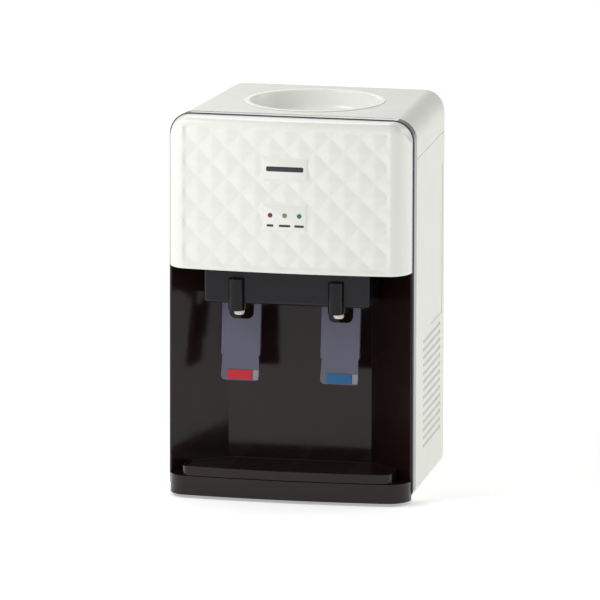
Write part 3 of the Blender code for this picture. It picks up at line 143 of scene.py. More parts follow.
@dataclass(frozen=True)
class Finish:
    """One real material with the detail of its surface, and the record's slot; sizes are in millimetres."""

    name: str
    colour: str
    shade: str
    roughness: float
    surface: Surface = Surface.MOULDED
    spread: float = 0.04
    grain: float = 0.6
    relief: float = 0.010
    drift: float = 70.0
    metallic: float = 0.0
    ior: float = 1.5
    coat: float = 0.0
    transmission: float = 0.0
    subsurface: float = 0.0
    dust: str = ""
    dust_share: float = 0.0
    slot: str = ""
    coat_roughness: float = 0.04
    scatter: float = 2.0
    least_roughness: float = 0.02
    wear: float = 22.0
    worn: Two = (0.3, 0.7)
    fleck: float = 5.0
    patches: Two = (0.48, 0.72)
    thin_dust: float = 0.15
    upward: Two = (0.6, 1.0)

    def material(self) -> bpy.types.Material:
        """Make the Blender material of this finish, once.

        Returns:
            The material.
        """
        found = bpy.data.materials.get(self.name)
        if found:
            return found
        made = bpy.data.materials.new(self.name)
        made.use_nodes = True
        made.diffuse_color = linear(self.colour)
        tree = made.node_tree
        shader = tree.nodes["Principled BSDF"]
        uniform = {"Metallic": self.metallic, "IOR": self.ior, "Coat Weight": self.coat,
                   "Coat Roughness": self.coat_roughness, "Transmission Weight": self.transmission,
                   "Subsurface Weight": self.subsurface, "Subsurface Scale": self.scatter * MM}
        for name, value in uniform.items():
            shader.inputs[name].default_value = value
        spot = add_node(tree, "ShaderNodeTexCoord").outputs["Object"]
        self._colour(tree, shader, spot)
        self._relief(tree, shader, spot)
        return made

    def _colour(self, tree: Tree, shader: bpy.types.Node, spot: Socket) -> None:
        """Lay the slow drift of colour, and the dust on faces that look up.

        Args:
            tree: The material's nodes.
            shader: Its Principled shader.
            spot: Object coordinates in metres.
        """
        drift = noise(tree, spot, self.drift, 3.0)
        colour = add_node(tree, "ShaderNodeMix", {0: drift, 6: linear(self.colour), 7: linear(self.shade)},
                          data_type="RGBA").outputs[2]
        if self.dust:
            normal = add_node(tree, "ShaderNodeNewGeometry").outputs["Normal"]
            up = add_node(tree, "ShaderNodeSeparateXYZ", {0: normal}).outputs["Z"]
            patch = remap(tree, noise(tree, spot, self.fleck, 6.0, 0.7), self.patches, (self.thin_dust, 1.0))
            facing = remap(tree, up, self.upward, (0.0, self.dust_share))
            amount = add_node(tree, "ShaderNodeMath", {0: patch, 1: facing}, operation="MULTIPLY").outputs[0]
            colour = add_node(tree, "ShaderNodeMix", {0: amount, 6: colour, 7: linear(self.dust)},
                              data_type="RGBA").outputs[2]
        tree.links.new(colour, shader.inputs["Base Color"])

    def _relief(self, tree: Tree, shader: bpy.types.Node, spot: Socket) -> None:
        """Lay the fine grain: its bump, and the roughness that goes with it.

        Args:
            tree: The material's nodes.
            shader: Its Principled shader.
            spot: Object coordinates in metres.
        """
        stretch, beads = self.surface.value
        place = add_node(tree, "ShaderNodeMapping", {"Vector": spot, "Scale": stretch}).outputs[0]
        if beads:
            inputs = {"Vector": place, "Scale": per_metre(self.grain)}
            height = add_node(tree, "ShaderNodeTexVoronoi", inputs).outputs[0]
        else:
            height = noise(tree, place, self.grain, 2.0)
        reach = (max(self.least_roughness, self.roughness - self.spread), self.roughness + self.spread)
        rough = remap(tree, noise(tree, place, self.wear, 5.0), self.worn, reach)
        inputs = {"Height": height, "Distance": self.relief * MM, "Strength": 1.0}
        bump = add_node(tree, "ShaderNodeBump", inputs)
        tree.links.new(rough, shader.inputs["Roughness"])
        tree.links.new(bump.outputs[0], shader.inputs["Normal"])


# ABS, injection moulded in a polished tool: a clean bright white whose soft gloss shows the relief
FASCIA_ABS = Finish("abs_moulded_gloss_white", "#F2F3ED", "#EDEEE7", 0.24, spread=0.03, grain=5.0,
                    relief=0.012, slot="fascia_white")
# ABS, moulded in a spark-eroded tool: warmer and flatter white, with a grain at 0.7 mm so that it shows
CASING_ABS = Finish("abs_moulded_satin_ivory", "#E9EBE1", "#E2E4D9", 0.42, grain=0.7, relief=0.018,
                    slot="casing_white")
# ABS of the bowl, polished where the bottle seats: glossier than the cover round it, and its white painted
# brighter than the cover's as painted light, standing in for the light that falls into the bowl
RECEIVER_ABS_PAINTED_LIGHT = Finish("abs_moulded_polished_white_painted_light", "#F7F8F3", "#F2F3ED", 0.22, Surface.POLISHED, spread=0.03,
                      grain=6.0, relief=0.008, slot="casing_white")
# Smoked SAN, moulded clear and dark: a thin glossy outline that goes from lavender grey to near black
TRIM_SAN = Finish("san_moulded_smoked", "#34333D", "#26252E", 0.12, Surface.POLISHED, spread=0.03, grain=6.0,
                  relief=0.006, ior=1.57, coat=0.5, transmission=0.15, slot="trim_smoke")
# Piano-black ABS, polished tool: deep black, faintly brown, with long soft reflections and a dusty floor
BAY_ABS = Finish("abs_piano_black", "#1A0E0D", "#1F1312", 0.14, Surface.POLISHED, grain=9.0, ior=1.38,
                 dust="#4A4547", dust_share=0.12, slot="bay_black")
# Blue-black ABS, moulded: slightly softer gloss than the bay behind it
HOUSING_ABS = Finish("abs_moulded_blue_black", "#0F1017", "#0B0B10", 0.24, grain=4.0, ior=1.38,
                     slot="housing_black")
# Gloss black ABS of spouts and valves: tight vertical highlights on a near-black body
SPOUT_ABS = Finish("abs_moulded_black", "#090809", "#0E0C0E", 0.09, Surface.POLISHED, spread=0.03, grain=6.0,
                   relief=0.006, ior=1.36, slot="bay_black")
# Smoke-tinted polycarbonate, moulded: see-through grey with a lavender cast
LEVER_PC = Finish("polycarbonate_smoke", "#706E84", "#65637A", 0.14, Surface.POLISHED, grain=8.0,
                  relief=0.008, ior=1.58, transmission=0.35, coat=0.3, slot="lever_smoke")
# The same polycarbonate on the lever's rounded edges, painted paler: a painted highlight that stands in for
# light coming out of the sheet's edges, as pale lavender outlines
LEVER_EDGE_PAINTED_GLOW = Finish("polycarbonate_smoke_painted_edge_glow", "#C6C5D8", "#B9B8CC", 0.18, Surface.POLISHED, grain=8.0,
                       relief=0.006, ior=1.58, slot="lever_smoke")
# Dyed polypropylene label pads: flat saturated colour under a low sheen
RED_PP = Finish("polypropylene_red", "#C1182B", "#B41426", 0.32, grain=0.9, slot="label_red")
BLUE_PP = Finish("polypropylene_blue", "#0A5D8C", "#085480", 0.32, grain=0.9, slot="label_blue")
# Clear acrylic window at the end of each label: pale with a sharp gloss
CLEAR_PMMA = Finish("acrylic_clear", "#C4C4CE", "#B9B9C4", 0.06, Surface.POLISHED, grain=5.0, relief=0.002,
                    ior=1.49, transmission=0.6, slot="lever_smoke")
# Natural polypropylene nozzles: waxy off-white
NOZZLE_PP = Finish("polypropylene_natural", "#DFDBD3", "#D6D2C9", 0.38, grain=0.8, subsurface=0.1,
                   slot="nozzle_white")
# Pigmented ink of the pad-printed bars: flat dark grey
PRINT_INK = Finish("pad_print_ink_charcoal", "#2E2E33", "#37373D", 0.45, grain=0.5, relief=0.006)
# Epoxy lamp lenses, cast and tinted: dark glassy beads
RED_LENS = Finish("epoxy_cast_maroon", "#6E1020", "#5A0C1A", 0.08, Surface.POLISHED, grain=2.0, relief=0.002,
                  coat=0.6, slot="lamp_red")
AMBER_LENS = replace(RED_LENS, name="epoxy_cast_olive_amber", colour="#8B8554", shade="#7A7448",
                     slot="lamp_amber")
GREEN_LENS = replace(RED_LENS, name="epoxy_cast_green", colour="#17744F", shade="#125E40", slot="lamp_green")
# Stainless steel, drawn: grey metal with a fine lengthwise grain, drawn at 0.4 mm so that it shows
STEEL = Finish("stainless_steel_drawn", "#C9C8C4", "#BDBCB8", 0.26, Surface.BRUSHED, spread=0.08, grain=0.4,
               relief=0.012, metallic=1.0, slot="steel")
# Aluminium, extruded and cut: paler metal with wide soft streaks
ALUMINIUM = Finish("aluminium_extruded", "#D6D8DA", "#CACCCF", 0.34, Surface.BRUSHED, spread=0.08,
                   relief=0.014, metallic=1.0, slot="aluminium")
# EPDM rubber, compression moulded: matt near-black that gathers pale dust
RUBBER = Finish("epdm_rubber_moulded", "#1B1B1C", "#242424", 0.78, grain=0.8, relief=0.03, dust="#5B5955",
                dust_share=0.3, slot="rubber")
# Glass-filled nylon of the fan: dark with a dry, slightly fibrous surface
FAN_NYLON = Finish("nylon_glass_filled_black", "#1E1E20", "#27272A", 0.55, grain=0.9, relief=0.025,
                   slot="fan_black")
# Silicone hose, extruded: milky and soft
SILICONE = Finish("silicone_extruded", "#E3E1D9", "#D8D5CB", 0.48, grain=1.2, subsurface=0.2,
                  slot="silicone")
# Expanded polystyrene jacket: white beads about 3 mm across
FOAM = Finish("polystyrene_foam_beaded", "#F1F1EC", "#E8E8E2", 0.85, Surface.BEADED, grain=3.0, relief=0.20,
              slot="foam")
# Glass-epoxy board with solder mask: dark green, softly glossy
BOARD = Finish("fr4_solder_mask_green", "#1F5A33", "#184A2A", 0.35, grain=2.5, relief=0.020, drift=9.0,
               slot="circuit_board")
# Alumina of the cooling module: chalky white
CERAMIC = Finish("alumina_sintered", "#ECEBE6", "#E2E1DB", 0.60, relief=0.012, slot="ceramic")
# Tinted ABS rockers: clear signal red and green
RED_ROCKER = Finish("abs_moulded_signal_red", "#B3262B", "#A41F25", 0.28, grain=1.0, relief=0.008,
                    slot="rocker_red")
GREEN_ROCKER = replace(RED_ROCKER, name="abs_moulded_signal_green", colour="#1F7A48", shade="#1A6B3E",
                       slot="rocker_green")

BODY_OF = {node: body for body, nodes in frame["record"]["behaviour"]["bodies"].items() for node in nodes}


def add_piece(name: str, shape: Shape, finish: Finish, body: str, nodes: Sequence[str] = (),
              crease: float = 35.0) -> bpy.types.Object:
    """Make a finished piece from a bmesh, and hang it on its body in its finish.

    Args:
        name: The piece's name.
        shape: Its mesh, freed here.
        finish: What it is made of.
        body: The body it rides on.
        nodes: CAD nodes that it stands for.
        crease: Angle in degrees above which an edge stays sharp.

    Returns:
        The piece.
    """
    bmesh.ops.remove_doubles(shape, verts=shape.verts[:], dist=WELD)
    bmesh.ops.dissolve_degenerate(shape, edges=shape.edges[:], dist=SLIVER)
    bmesh.ops.recalc_face_normals(shape, faces=shape.faces[:])
    data = bpy.data.meshes.new(name)
    shape.to_mesh(data)
    shape.free()
    data.shade_smooth()
    data.set_sharp_from_angle(angle=math.radians(crease))
    piece = bpy.data.objects.new(name, data)
    bpy.context.scene.collection.objects.link(piece)
    data.materials.append(finish.material())
    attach(piece, body)
    if nodes:
        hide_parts(*nodes)
    LOG.info("%s rides on %s, in %s", name, body, finish.name)
    return piece


def dress(node: str, finish: Finish) -> None:
    """Give a CAD node that stays its finish.

    Args:
        node: The CAD node's name.
        finish: What it is made of.
    """
    data = frame["nodes"][node].data
    data.materials.clear()
    data.materials.append(finish.material())
    LOG.info("%s stays, in %s", node, finish.name)


def cad_mesh(node: str) -> Shape:
    """Copy a CAD node's mesh, with its points welded and its flat faces whole.

    Args:
        node: The CAD node's name.

    Returns:
        The copy.
    """
    shape = bmesh.new()
    shape.from_mesh(frame["nodes"][node].data)
    bmesh.ops.remove_doubles(shape, verts=shape.verts[:], dist=WELD)
    bmesh.ops.dissolve_limit(shape, angle_limit=math.radians(FLAT_ANGLE), verts=shape.verts[:],
                             edges=shape.edges[:])
    return shape


def refine(node: str, finish: Finish, edge: float, painted_rim: Finish | None = None, corner: float = 0.0,
           chosen: Callable[[bmesh.types.BMEdge], bool] | None = None) -> bpy.types.Object:
    """Replace a CAD node by its own shape with rounded edges.

    Args:
        node: The CAD node's name.
        finish: What it is made of.
        edge: Radius of every sharp edge's rounding, in metres.
        painted_rim: A paler finish painted on the rounded edges as a painted highlight, if one is wanted.
        corner: Radius of the chosen edges' rounding, made first.
        chosen: Says which edges take that larger rounding.

    Returns:
        The piece.
    """
    shape = cad_mesh(node)
    if chosen:
        bmesh.ops.bevel(shape, geom=[e for e in shape.edges if chosen(e)], offset=corner, segments=6,
                        profile=0.5, affect="EDGES", clamp_overlap=True)
    limit = math.radians(SHARP_ANGLE)
    sharp = [e for e in shape.edges if len(e.link_faces) == 2 and e.calc_face_angle(0.0) > limit]
    # With a painted highlight given, the rounded edges take its finish as the second material.
    bmesh.ops.bevel(shape, geom=sharp, offset=edge, segments=2, profile=0.5, affect="EDGES",
                    clamp_overlap=True, material=1 if painted_rim else -1)
    piece = add_piece(node + "_finished", shape, finish, BODY_OF[node], (node,))
    if painted_rim:
        piece.data.materials.append(painted_rim.material())
    weigh = piece.modifiers.new("flat_faces_first", "WEIGHTED_NORMAL")
    weigh.keep_sharp = True
    return piece


def fillet(corners: Sequence[tuple[float, float, float]], count: int = 4) -> Path2D:
    """Round the corners of a closed path.

    Args:
        corners: Each corner with the radius to round it by.
        count: Steps in each rounding.

    Returns:
        The rounded path.
    """
    path: Path2D = []
    total = len(corners)
    for at, (x, y, radius) in enumerate(corners):
        here = Vector((x, y))
        if radius <= 0:
            path.append((x, y))
            continue
        before = Vector(corners[at - 1][:2]) - here
        after = Vector(corners[(at + 1) % total][:2]) - here
        half = before.angle(after) / 2
        reach = min(radius / math.tan(half), before.length * 0.49, after.length * 0.49)
        start, end = here + before.normalized() * reach, here + after.normalized() * reach
        for step in range(count + 1):
            t = step / count
            place = start * (1 - t) ** 2 + here * 2 * t * (1 - t) + end * t * t
            path.append((place.x, place.y))
    return path


def lathe(profile: Path2D, centre: Point, axis: str = "Z", steps: int = 64) -> Shape:
    """Turn a (radius, height) profile about a line.

    Args:
        profile: The points, from inside to outside.
        centre: Where radius and height are zero.
        axis: "Z", or "Y" for a line along the depth.
        steps: Faces round the turn.

    Returns:
        The turned shape.
    """
    shape = bmesh.new()
    rings = []
    for step in range(steps):
        turn = 2 * math.pi * step / steps
        ring = []
        for radius, height in profile:
            place = (radius * math.cos(turn), radius * math.sin(turn), height)
            if axis == "Y":
                place = (place[0], height, place[1])
            ring.append(shape.verts.new(Vector(centre) + Vector(place)))
        rings.append(ring)
    count = len(profile)
    for step in range(steps):
        here, there = rings[step], rings[(step + 1) % steps]
        for at in range(count):
            after = (at + 1) % count
            shape.faces.new((here[at], here[after], there[after], there[at]))
    return shape


def slab(outline: Path2D, low: float, high: float, edge: float) -> Shape:
    """Extrude an (x, z) outline along the depth, and round the rims of its two faces.

    Args:
        outline: The points.
        low: Where it starts along y.
        high: Where it ends.
        edge: Radius of the rims.

    Returns:
        The slab.
    """
    shape = bmesh.new()
    base = shape.faces.new([shape.verts.new((x, low, z)) for x, z in outline])
    raised = bmesh.ops.extrude_face_region(shape, geom=[base])["geom"]
    raised = [vertex for vertex in raised if isinstance(vertex, bmesh.types.BMVert)]
    bmesh.ops.translate(shape, verts=raised, vec=(0, high - low, 0))
    rims = [e for e in shape.edges if abs(e.verts[0].co.y - e.verts[1].co.y) < SLIVER]
    bmesh.ops.bevel(shape, geom=rims, offset=edge, segments=2, profile=0.5, affect="EDGES",
                    clamp_overlap=True)
    return shape


def oblong(x: float, y: float, wide: float, tall: float, corner: float) -> Path2D:
    """Draw a rectangle with round corners.

    Args:
        x: Its middle, across.
        y: Its middle, up.
        wide: Its width.
        tall: Its height.
        corner: Radius of its corners.

    Returns:
        The outline.
    """
    half, up = wide / 2, tall / 2
    return fillet([(x - half, y - up, corner), (x + half, y - up, corner), (x + half, y + up, corner),
                   (x - half, y + up, corner)])


def wire(points: Sequence[Point], radius: float, closed: bool = False, sides: int = 8) -> Shape:
    """Run a round wire through the points.

    Args:
        points: The middle line.
        radius: The wire's radius.
        closed: Whether it joins its own start.
        sides: Faces round the wire.

    Returns:
        The wire.
    """
    shape = bmesh.new()
    line = [Vector(p) for p in points]
    rings = []
    for at, place in enumerate(line):
        before = line[at - 1] if at or closed else place
        after = line[(at + 1) % len(line)] if at < len(line) - 1 or closed else place
        turn = (after - before).to_track_quat("Z", "Y")
        rings.append([shape.verts.new(place + turn @ Vector((radius * math.cos(a), radius * math.sin(a), 0)))
                      for a in (2 * math.pi * side / sides for side in range(sides))])
    for at in range(len(rings) if closed else len(rings) - 1):
        here, there = rings[at], rings[(at + 1) % len(rings)]
        shift = min(range(sides), key=lambda s: (here[0].co - there[s].co).length)
        for side in range(sides):
            after = (side + 1) % sides
            shape.faces.new((here[side], here[after], there[(after + shift) % sides],
                             there[(side + shift) % sides]))
    if not closed:
        for ring in (rings[0], rings[-1]):
            shape.faces.new(ring)
    return shape


def merge(shapes: Sequence[Shape]) -> Shape:
    """Put several shapes in one mesh, and free them.

    Args:
        shapes: The shapes to join.

    Returns:
        The whole.
    """
    whole = bmesh.new()
    for shape in shapes:
        data = bpy.data.meshes.new("part")
        shape.to_mesh(data)
        shape.free()
        whole.from_mesh(data)
        bpy.data.meshes.remove(data)
    return whole


@dataclass(frozen=True)
class Softbox:
    """One square area light, aimed at the dispenser."""

    name: str
    place: tuple[float, float, float]
    size: float
    power: float


@dataclass
class Studio:
    """Camera, soft lights and pale floor."""

    yaw: float = 12.67
    pitch: float = 10.29
    roll: float = 0.14
    place: tuple[float, float, float] = (3.216, -14.362, 2.903)
    lens: float = 720.0
    sensor: float = 36.0
    floor_radius: float = 70.0
    room_light: float = 0.50
    floor_glow: float = 0.40
    far_floor: float = 0.88
    horizon: Two = (-0.004, -0.002)
    softboxes: tuple[Softbox, ...] = (
        Softbox("key_softbox", (-0.80, -0.60, 1.14), 0.6, 6.8),
        Softbox("fill_softbox", (3.2, 1.8, 1.2), 2.0, 23.0),
        Softbox("rear_softbox", (-1.4, 3.2, 2.2), 2.4, 20.0))
    aim: tuple[float, float, float] = (0.0, 0.0, 0.25)

    def build(self) -> None:
        """Make the camera, the lights and the floor."""
        self._camera()
        self._lights()
        self._floor()
        bpy.context.scene.view_settings.view_transform = "Standard"

    def _camera(self) -> None:
        """Put the camera at the viewing angle."""
        yaw, pitch, roll = (math.radians(a) for a in (self.yaw, self.pitch, self.roll))
        ahead = Vector((-math.sin(yaw) * math.cos(pitch), math.cos(yaw) * math.cos(pitch), -math.sin(pitch)))
        level = Vector((math.cos(yaw), math.sin(yaw), 0))
        above = level.cross(ahead)
        right = level * math.cos(roll) + above * math.sin(roll)
        up = above * math.cos(roll) - level * math.sin(roll)
        data = bpy.data.cameras.new("camera")
        data.lens, data.sensor_width, data.clip_end = self.lens, self.sensor, 200.0
        camera = bpy.data.objects.new("camera", data)
        turned = Matrix((right, up, -ahead)).transposed().to_4x4()
        camera.matrix_world = Matrix.Translation(self.place) @ turned
        bpy.context.scene.collection.objects.link(camera)
        bpy.context.scene.camera = camera

    def _lights(self) -> None:
        """Hang the softboxes, and fill the room with even white light, with the far floor's tone below."""
        for box in self.softboxes:
            data = bpy.data.lights.new(box.name, "AREA")
            data.energy, data.size = box.power, box.size
            light = bpy.data.objects.new(box.name, data)
            light.location = box.place
            light.rotation_mode = "QUATERNION"
            light.rotation_quaternion = (Vector(self.aim) - Vector(box.place)).to_track_quat("-Z", "Y")
            light.visible_camera = False
            bpy.context.scene.collection.objects.link(light)
        world = bpy.data.worlds.new("white_room")
        world.use_nodes = True
        back = world.node_tree.nodes["Background"]
        back.inputs["Color"].default_value = linear("#FFFFFF")
        way = add_node(world.node_tree, "ShaderNodeTexCoord").outputs["Generated"]
        up = add_node(world.node_tree, "ShaderNodeSeparateXYZ", {0: way}).outputs["Z"]
        strength = remap(world.node_tree, up, self.horizon, (self.far_floor, self.room_light))
        world.node_tree.links.new(strength, back.inputs["Strength"])
        bpy.context.scene.world = world

    def _floor(self) -> None:
        """Lay the pale floor."""
        shape = bmesh.new()
        bmesh.ops.create_circle(shape, cap_ends=True, segments=64, radius=self.floor_radius)
        data = bpy.data.meshes.new("studio_floor")
        shape.to_mesh(data)
        shape.free()
        floor = bpy.data.objects.new("studio_floor", data)
        bpy.context.scene.collection.objects.link(floor)
        paper = Finish("paper_matt_white", "#FAFAFA", "#F8F8F8", 0.9, grain=2.0, relief=0.0, drift=900.0)
        data.materials.append(paper.material())
        shader = data.materials[0].node_tree.nodes["Principled BSDF"]
        shader.inputs["Emission Color"].default_value = linear("#FFFFFF")
        shader.inputs["Emission Strength"].default_value = self.floor_glow


@dataclass
class Fascia:
    """Upper front shell with its quilted relief, its two plates and its lamps."""

    half: float = 0.153
    front: float = -0.145
    rear: float = -0.1053
    bow: float = 0.010
    wrap: float = 0.024
    low: float = 0.2895
    top: float = 0.4785
    corner: float = 0.025
    edge: float = 0.008
    lip: float = 0.0012
    wall: float = 0.0025
    cell: float = 0.0187
    cell_steps: int = 8
    first_row: float = 0.462
    quilt_low: float = 0.2935
    quilt_top: float = 0.4700
    quilt_cells: int = 7
    depth: float = 0.0022
    fade: float = 0.0022
    plate_front: float = -0.1444
    plate_depth: float = 0.0011
    plate_margin: float = 0.0016
    plate_edge: float = 0.0005
    plate_corner: float = 0.0015
    lamp_clear: float = 0.00005
    wrap_steps: int = 14
    soft_ridge: float = 0.05
    badge_bar: Two = (0.047, 0.0062)
    captions: tuple[float, ...] = (0.0085, 0.0145, 0.0120)
    caption_tall: float = 0.0028
    caption_drop: float = 0.0098
    print_proud: float = 0.0001
    print_deep: float = 0.0004
    print_edge: float = 0.00004

    def build(self) -> None:
        """Make the shell, the plates, the lamps and the board behind them."""
        self._shell()
        self._plates()
        self._lamps()
        dress("indicator_board", BOARD)

    def plan(self, across: float) -> tuple[Vector, Vector]:
        """Find the bowed front at a distance along its half width.

        Args:
            across: From -1 to 1 over the flat part, then on to -2 or 2 round the wrap.

        Returns:
            The point in plan, and the direction out of the surface.
        """
        side, size = math.copysign(1.0, across), abs(across)
        flat = self.half - self.wrap
        if size <= 1.0:
            x, extra, slope = flat * size, 0.0, 0.0
        else:
            turn, deep = math.pi / 2 * (size - 1.0), self.rear - self.front - self.bow
            x, extra = flat + self.wrap * math.sin(turn), deep * (1 - math.cos(turn))
            slope = deep * math.sin(turn) / max(self.wrap * math.cos(turn), WELD)
        slope += 2 * self.bow * x / self.half ** 2
        out = Vector((slope * side, -1.0)).normalized()
        return Vector((side * x, self.front + self.bow * (x / self.half) ** 2 + extra)), out

    def crown(self, x: float) -> float:
        """Return the height of the top over a place across the front."""
        over = max(abs(x) - (self.half - self.corner), 0.0)
        return self.top - self.corner + math.sqrt(max(self.corner ** 2 - over ** 2, 0.0))

    def fold(self, x: float, z: float) -> Two:
        """Return how far a place is, in cells, from the two diagonals through the nearest quilt point."""
        p, q = x / self.cell, (z - self.first_row) / self.cell
        return abs(p + q - 2 * round((p + q) / 2)), abs(p - q - 2 * round((p - q) / 2))

    def quilt(self, x: float, z: float) -> float:
        """Return how far the quilted relief lies below the surface.

        Args:
            x: Place across the front.
            z: Height.

        Returns:
            The depth in metres: none on a point of the quilt, most in its valleys.
        """
        a, b = self.fold(x, z)
        peak = (a + b + math.sqrt((a - b) ** 2 + self.soft_ridge ** 2)) / 2
        border = min(self.quilt_cells * self.cell - abs(x), z - self.quilt_low, self.quilt_top - z)
        share = min(max(border / self.fade, 0.0), 1.0)
        return self.depth * min(peak, 1.0) * share * share * (3 - 2 * share)

    def sunk(self, x: float, z: float) -> float:
        """Find how deep the relief lies, with a flat bed round each plate.

        Args:
            x: Place across the front.
            z: Height.

        Returns:
            The depth in metres.
        """
        depth = self.quilt(x, z)
        for node in ("badge_plate", "indicator_plate"):
            low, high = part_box(node)
            margin = self.plate_margin
            if abs(x) < high.x + margin and low.z - margin < z < high.z + margin:
                depth = self.plate_depth
        return depth

    def _stations(self) -> list[float]:
        """List places along the front, in step with the quilt's cells and then round the wrap.

        Returns:
            Places from -2 to 2, as plan takes them.
        """
        flat = self.half - self.wrap
        count = self.quilt_cells * self.cell_steps
        inner = [self.cell * step / self.cell_steps for step in range(count + 1)]
        right = [x / flat if x <= flat else 1 + math.asin((x - flat) / self.wrap) * 2 / math.pi
                 for x in inner]
        last, count = right[-1], self.wrap_steps
        right += [last + (2 - last) * step / count for step in range(1, count + 1)]
        return [-s for s in reversed(right[1:])] + right

    def _heights(self) -> list[float]:
        """List heights of the wall, in step with the quilt's rows.

        Returns:
            The heights from the lip to where the top edge begins.
        """
        step = self.cell / self.cell_steps
        first = self.first_row - step * math.floor((self.first_row - self.quilt_low) / step)
        start, end = self.low + self.lip, self.top - self.edge
        rows = [first + step * at for at in range(math.ceil((end - first) / step) + 1)]
        return [start] + [z for z in rows if start < z < end] + [end]

    def _shell(self) -> None:
        """Build the shell: lower lip, quilted wall, rounded top edge and the cap behind it."""
        shape = bmesh.new()
        rows: list[list[bmesh.types.BMVert]] = []
        heights = self._heights()
        end = heights[-1]
        for station in self._stations():
            point, out = self.plan(station)
            top = self.crown(point.x)
            edge = min(self.edge, (self.rear - point.y) * 0.8)
            column = [(point - out * self.wall, self.low), (point - out * self.lip, self.low)]
            column.append((point - out * self.lip * 0.3, self.low + self.lip * 0.3))
            reach = (top - edge - heights[0]) / (end - heights[0])
            for z in heights:
                height = min(z, top - edge) if abs(station) <= 1 else heights[0] + (z - heights[0]) * reach
                column.append((point - out * self.sunk(point.x, height), height))
            for turn in (math.radians(22.5 * k) for k in range(1, 5)):
                column.append((point - out * edge * (1 - math.cos(turn)), top - edge + edge * math.sin(turn)))
            start = point - out * edge
            for share in (0.35, 0.7, 1.0):
                place = start.lerp(Vector((point.x, self.rear)), share)
                column.append((place, top))
            rows.append([shape.verts.new((place.x, place.y, z)) for place, z in column])
        self._skin(shape, rows)
        add_piece("quilted_fascia", shape, FASCIA_ABS, BODY_OF["upper_fascia"], ("upper_fascia",), 50.0)

    def _skin(self, shape: Shape, rows: list[list[bmesh.types.BMVert]]) -> None:
        """Join the columns, each quad split along the quilt's nearest valley.

        Args:
            shape: The shell so far.
            rows: Its columns of points.
        """
        for here, there in zip(rows, rows[1:]):
            for at in range(len(here) - 1):
                quad = (here[at], here[at + 1], there[at + 1], there[at])
                middle = sum((v.co for v in quad), Vector()) / 4
                a, b = self.fold(middle.x, middle.z)
                for corners in ((0, 1, 3), (1, 2, 3)) if a > b else ((0, 1, 2), (0, 2, 3)):
                    shape.faces.new([quad[k] for k in corners])

    def _plates(self) -> None:
        """Set the blank badge and the lamp plate in their beds, with plain printed bars."""
        for node, name in (("badge_plate", "blank_badge"), ("indicator_plate", "lamp_plate")):
            low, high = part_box(node)
            middle = (low + high) / 2
            outline = oblong(middle.x, middle.z, high.x - low.x, high.z - low.z, self.plate_corner)
            plate = slab(outline, low.y, high.y, self.plate_edge)
            add_piece(name, plate, FASCIA_ABS, BODY_OF[node], (node,))
        low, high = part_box("badge_plate")
        bars = [(0.0, (low.z + high.z) / 2, *self.badge_bar)]
        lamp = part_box("led_lens_power")[0]
        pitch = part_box("led_lens_cool")[0].x - lamp.x
        bars += [(pitch * at, lamp.z - self.caption_drop, wide, self.caption_tall)
                 for at, wide in zip((-1, 0, 1), self.captions)]
        start, end = self.plate_front - self.print_proud, self.plate_front + self.print_deep
        shapes = [slab(oblong(x, z, wide, tall, tall * 0.3), start, end, self.print_edge)
                  for x, z, wide, tall in bars]
        add_piece("printed_bars", merge(shapes), PRINT_INK, BODY_OF["badge_plate"])

    def _lamps(self) -> None:
        """Turn a domed lens for each lamp."""
        for node, finish in (("led_lens_hot", RED_LENS), ("led_lens_power", AMBER_LENS),
                             ("led_lens_cool", GREEN_LENS)):
            low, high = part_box(node)
            radius = (high.x - low.x) / 2
            centre = ((low.x + high.x) / 2, 0, (low.z + high.z) / 2)
            tip = self.front + self.lamp_clear
            rise = self.plate_front - tip
            dome = [(radius * math.sin(math.radians(t)), tip + rise * (1 - math.cos(math.radians(t))))
                    for t in range(0, 91, 15)]
            shape = lathe(dome + [(radius, high.y), (0.0, high.y)], centre, "Y", 32)
            add_piece(node.replace("led_", "lamp_"), shape, finish, BODY_OF[node], (node,))


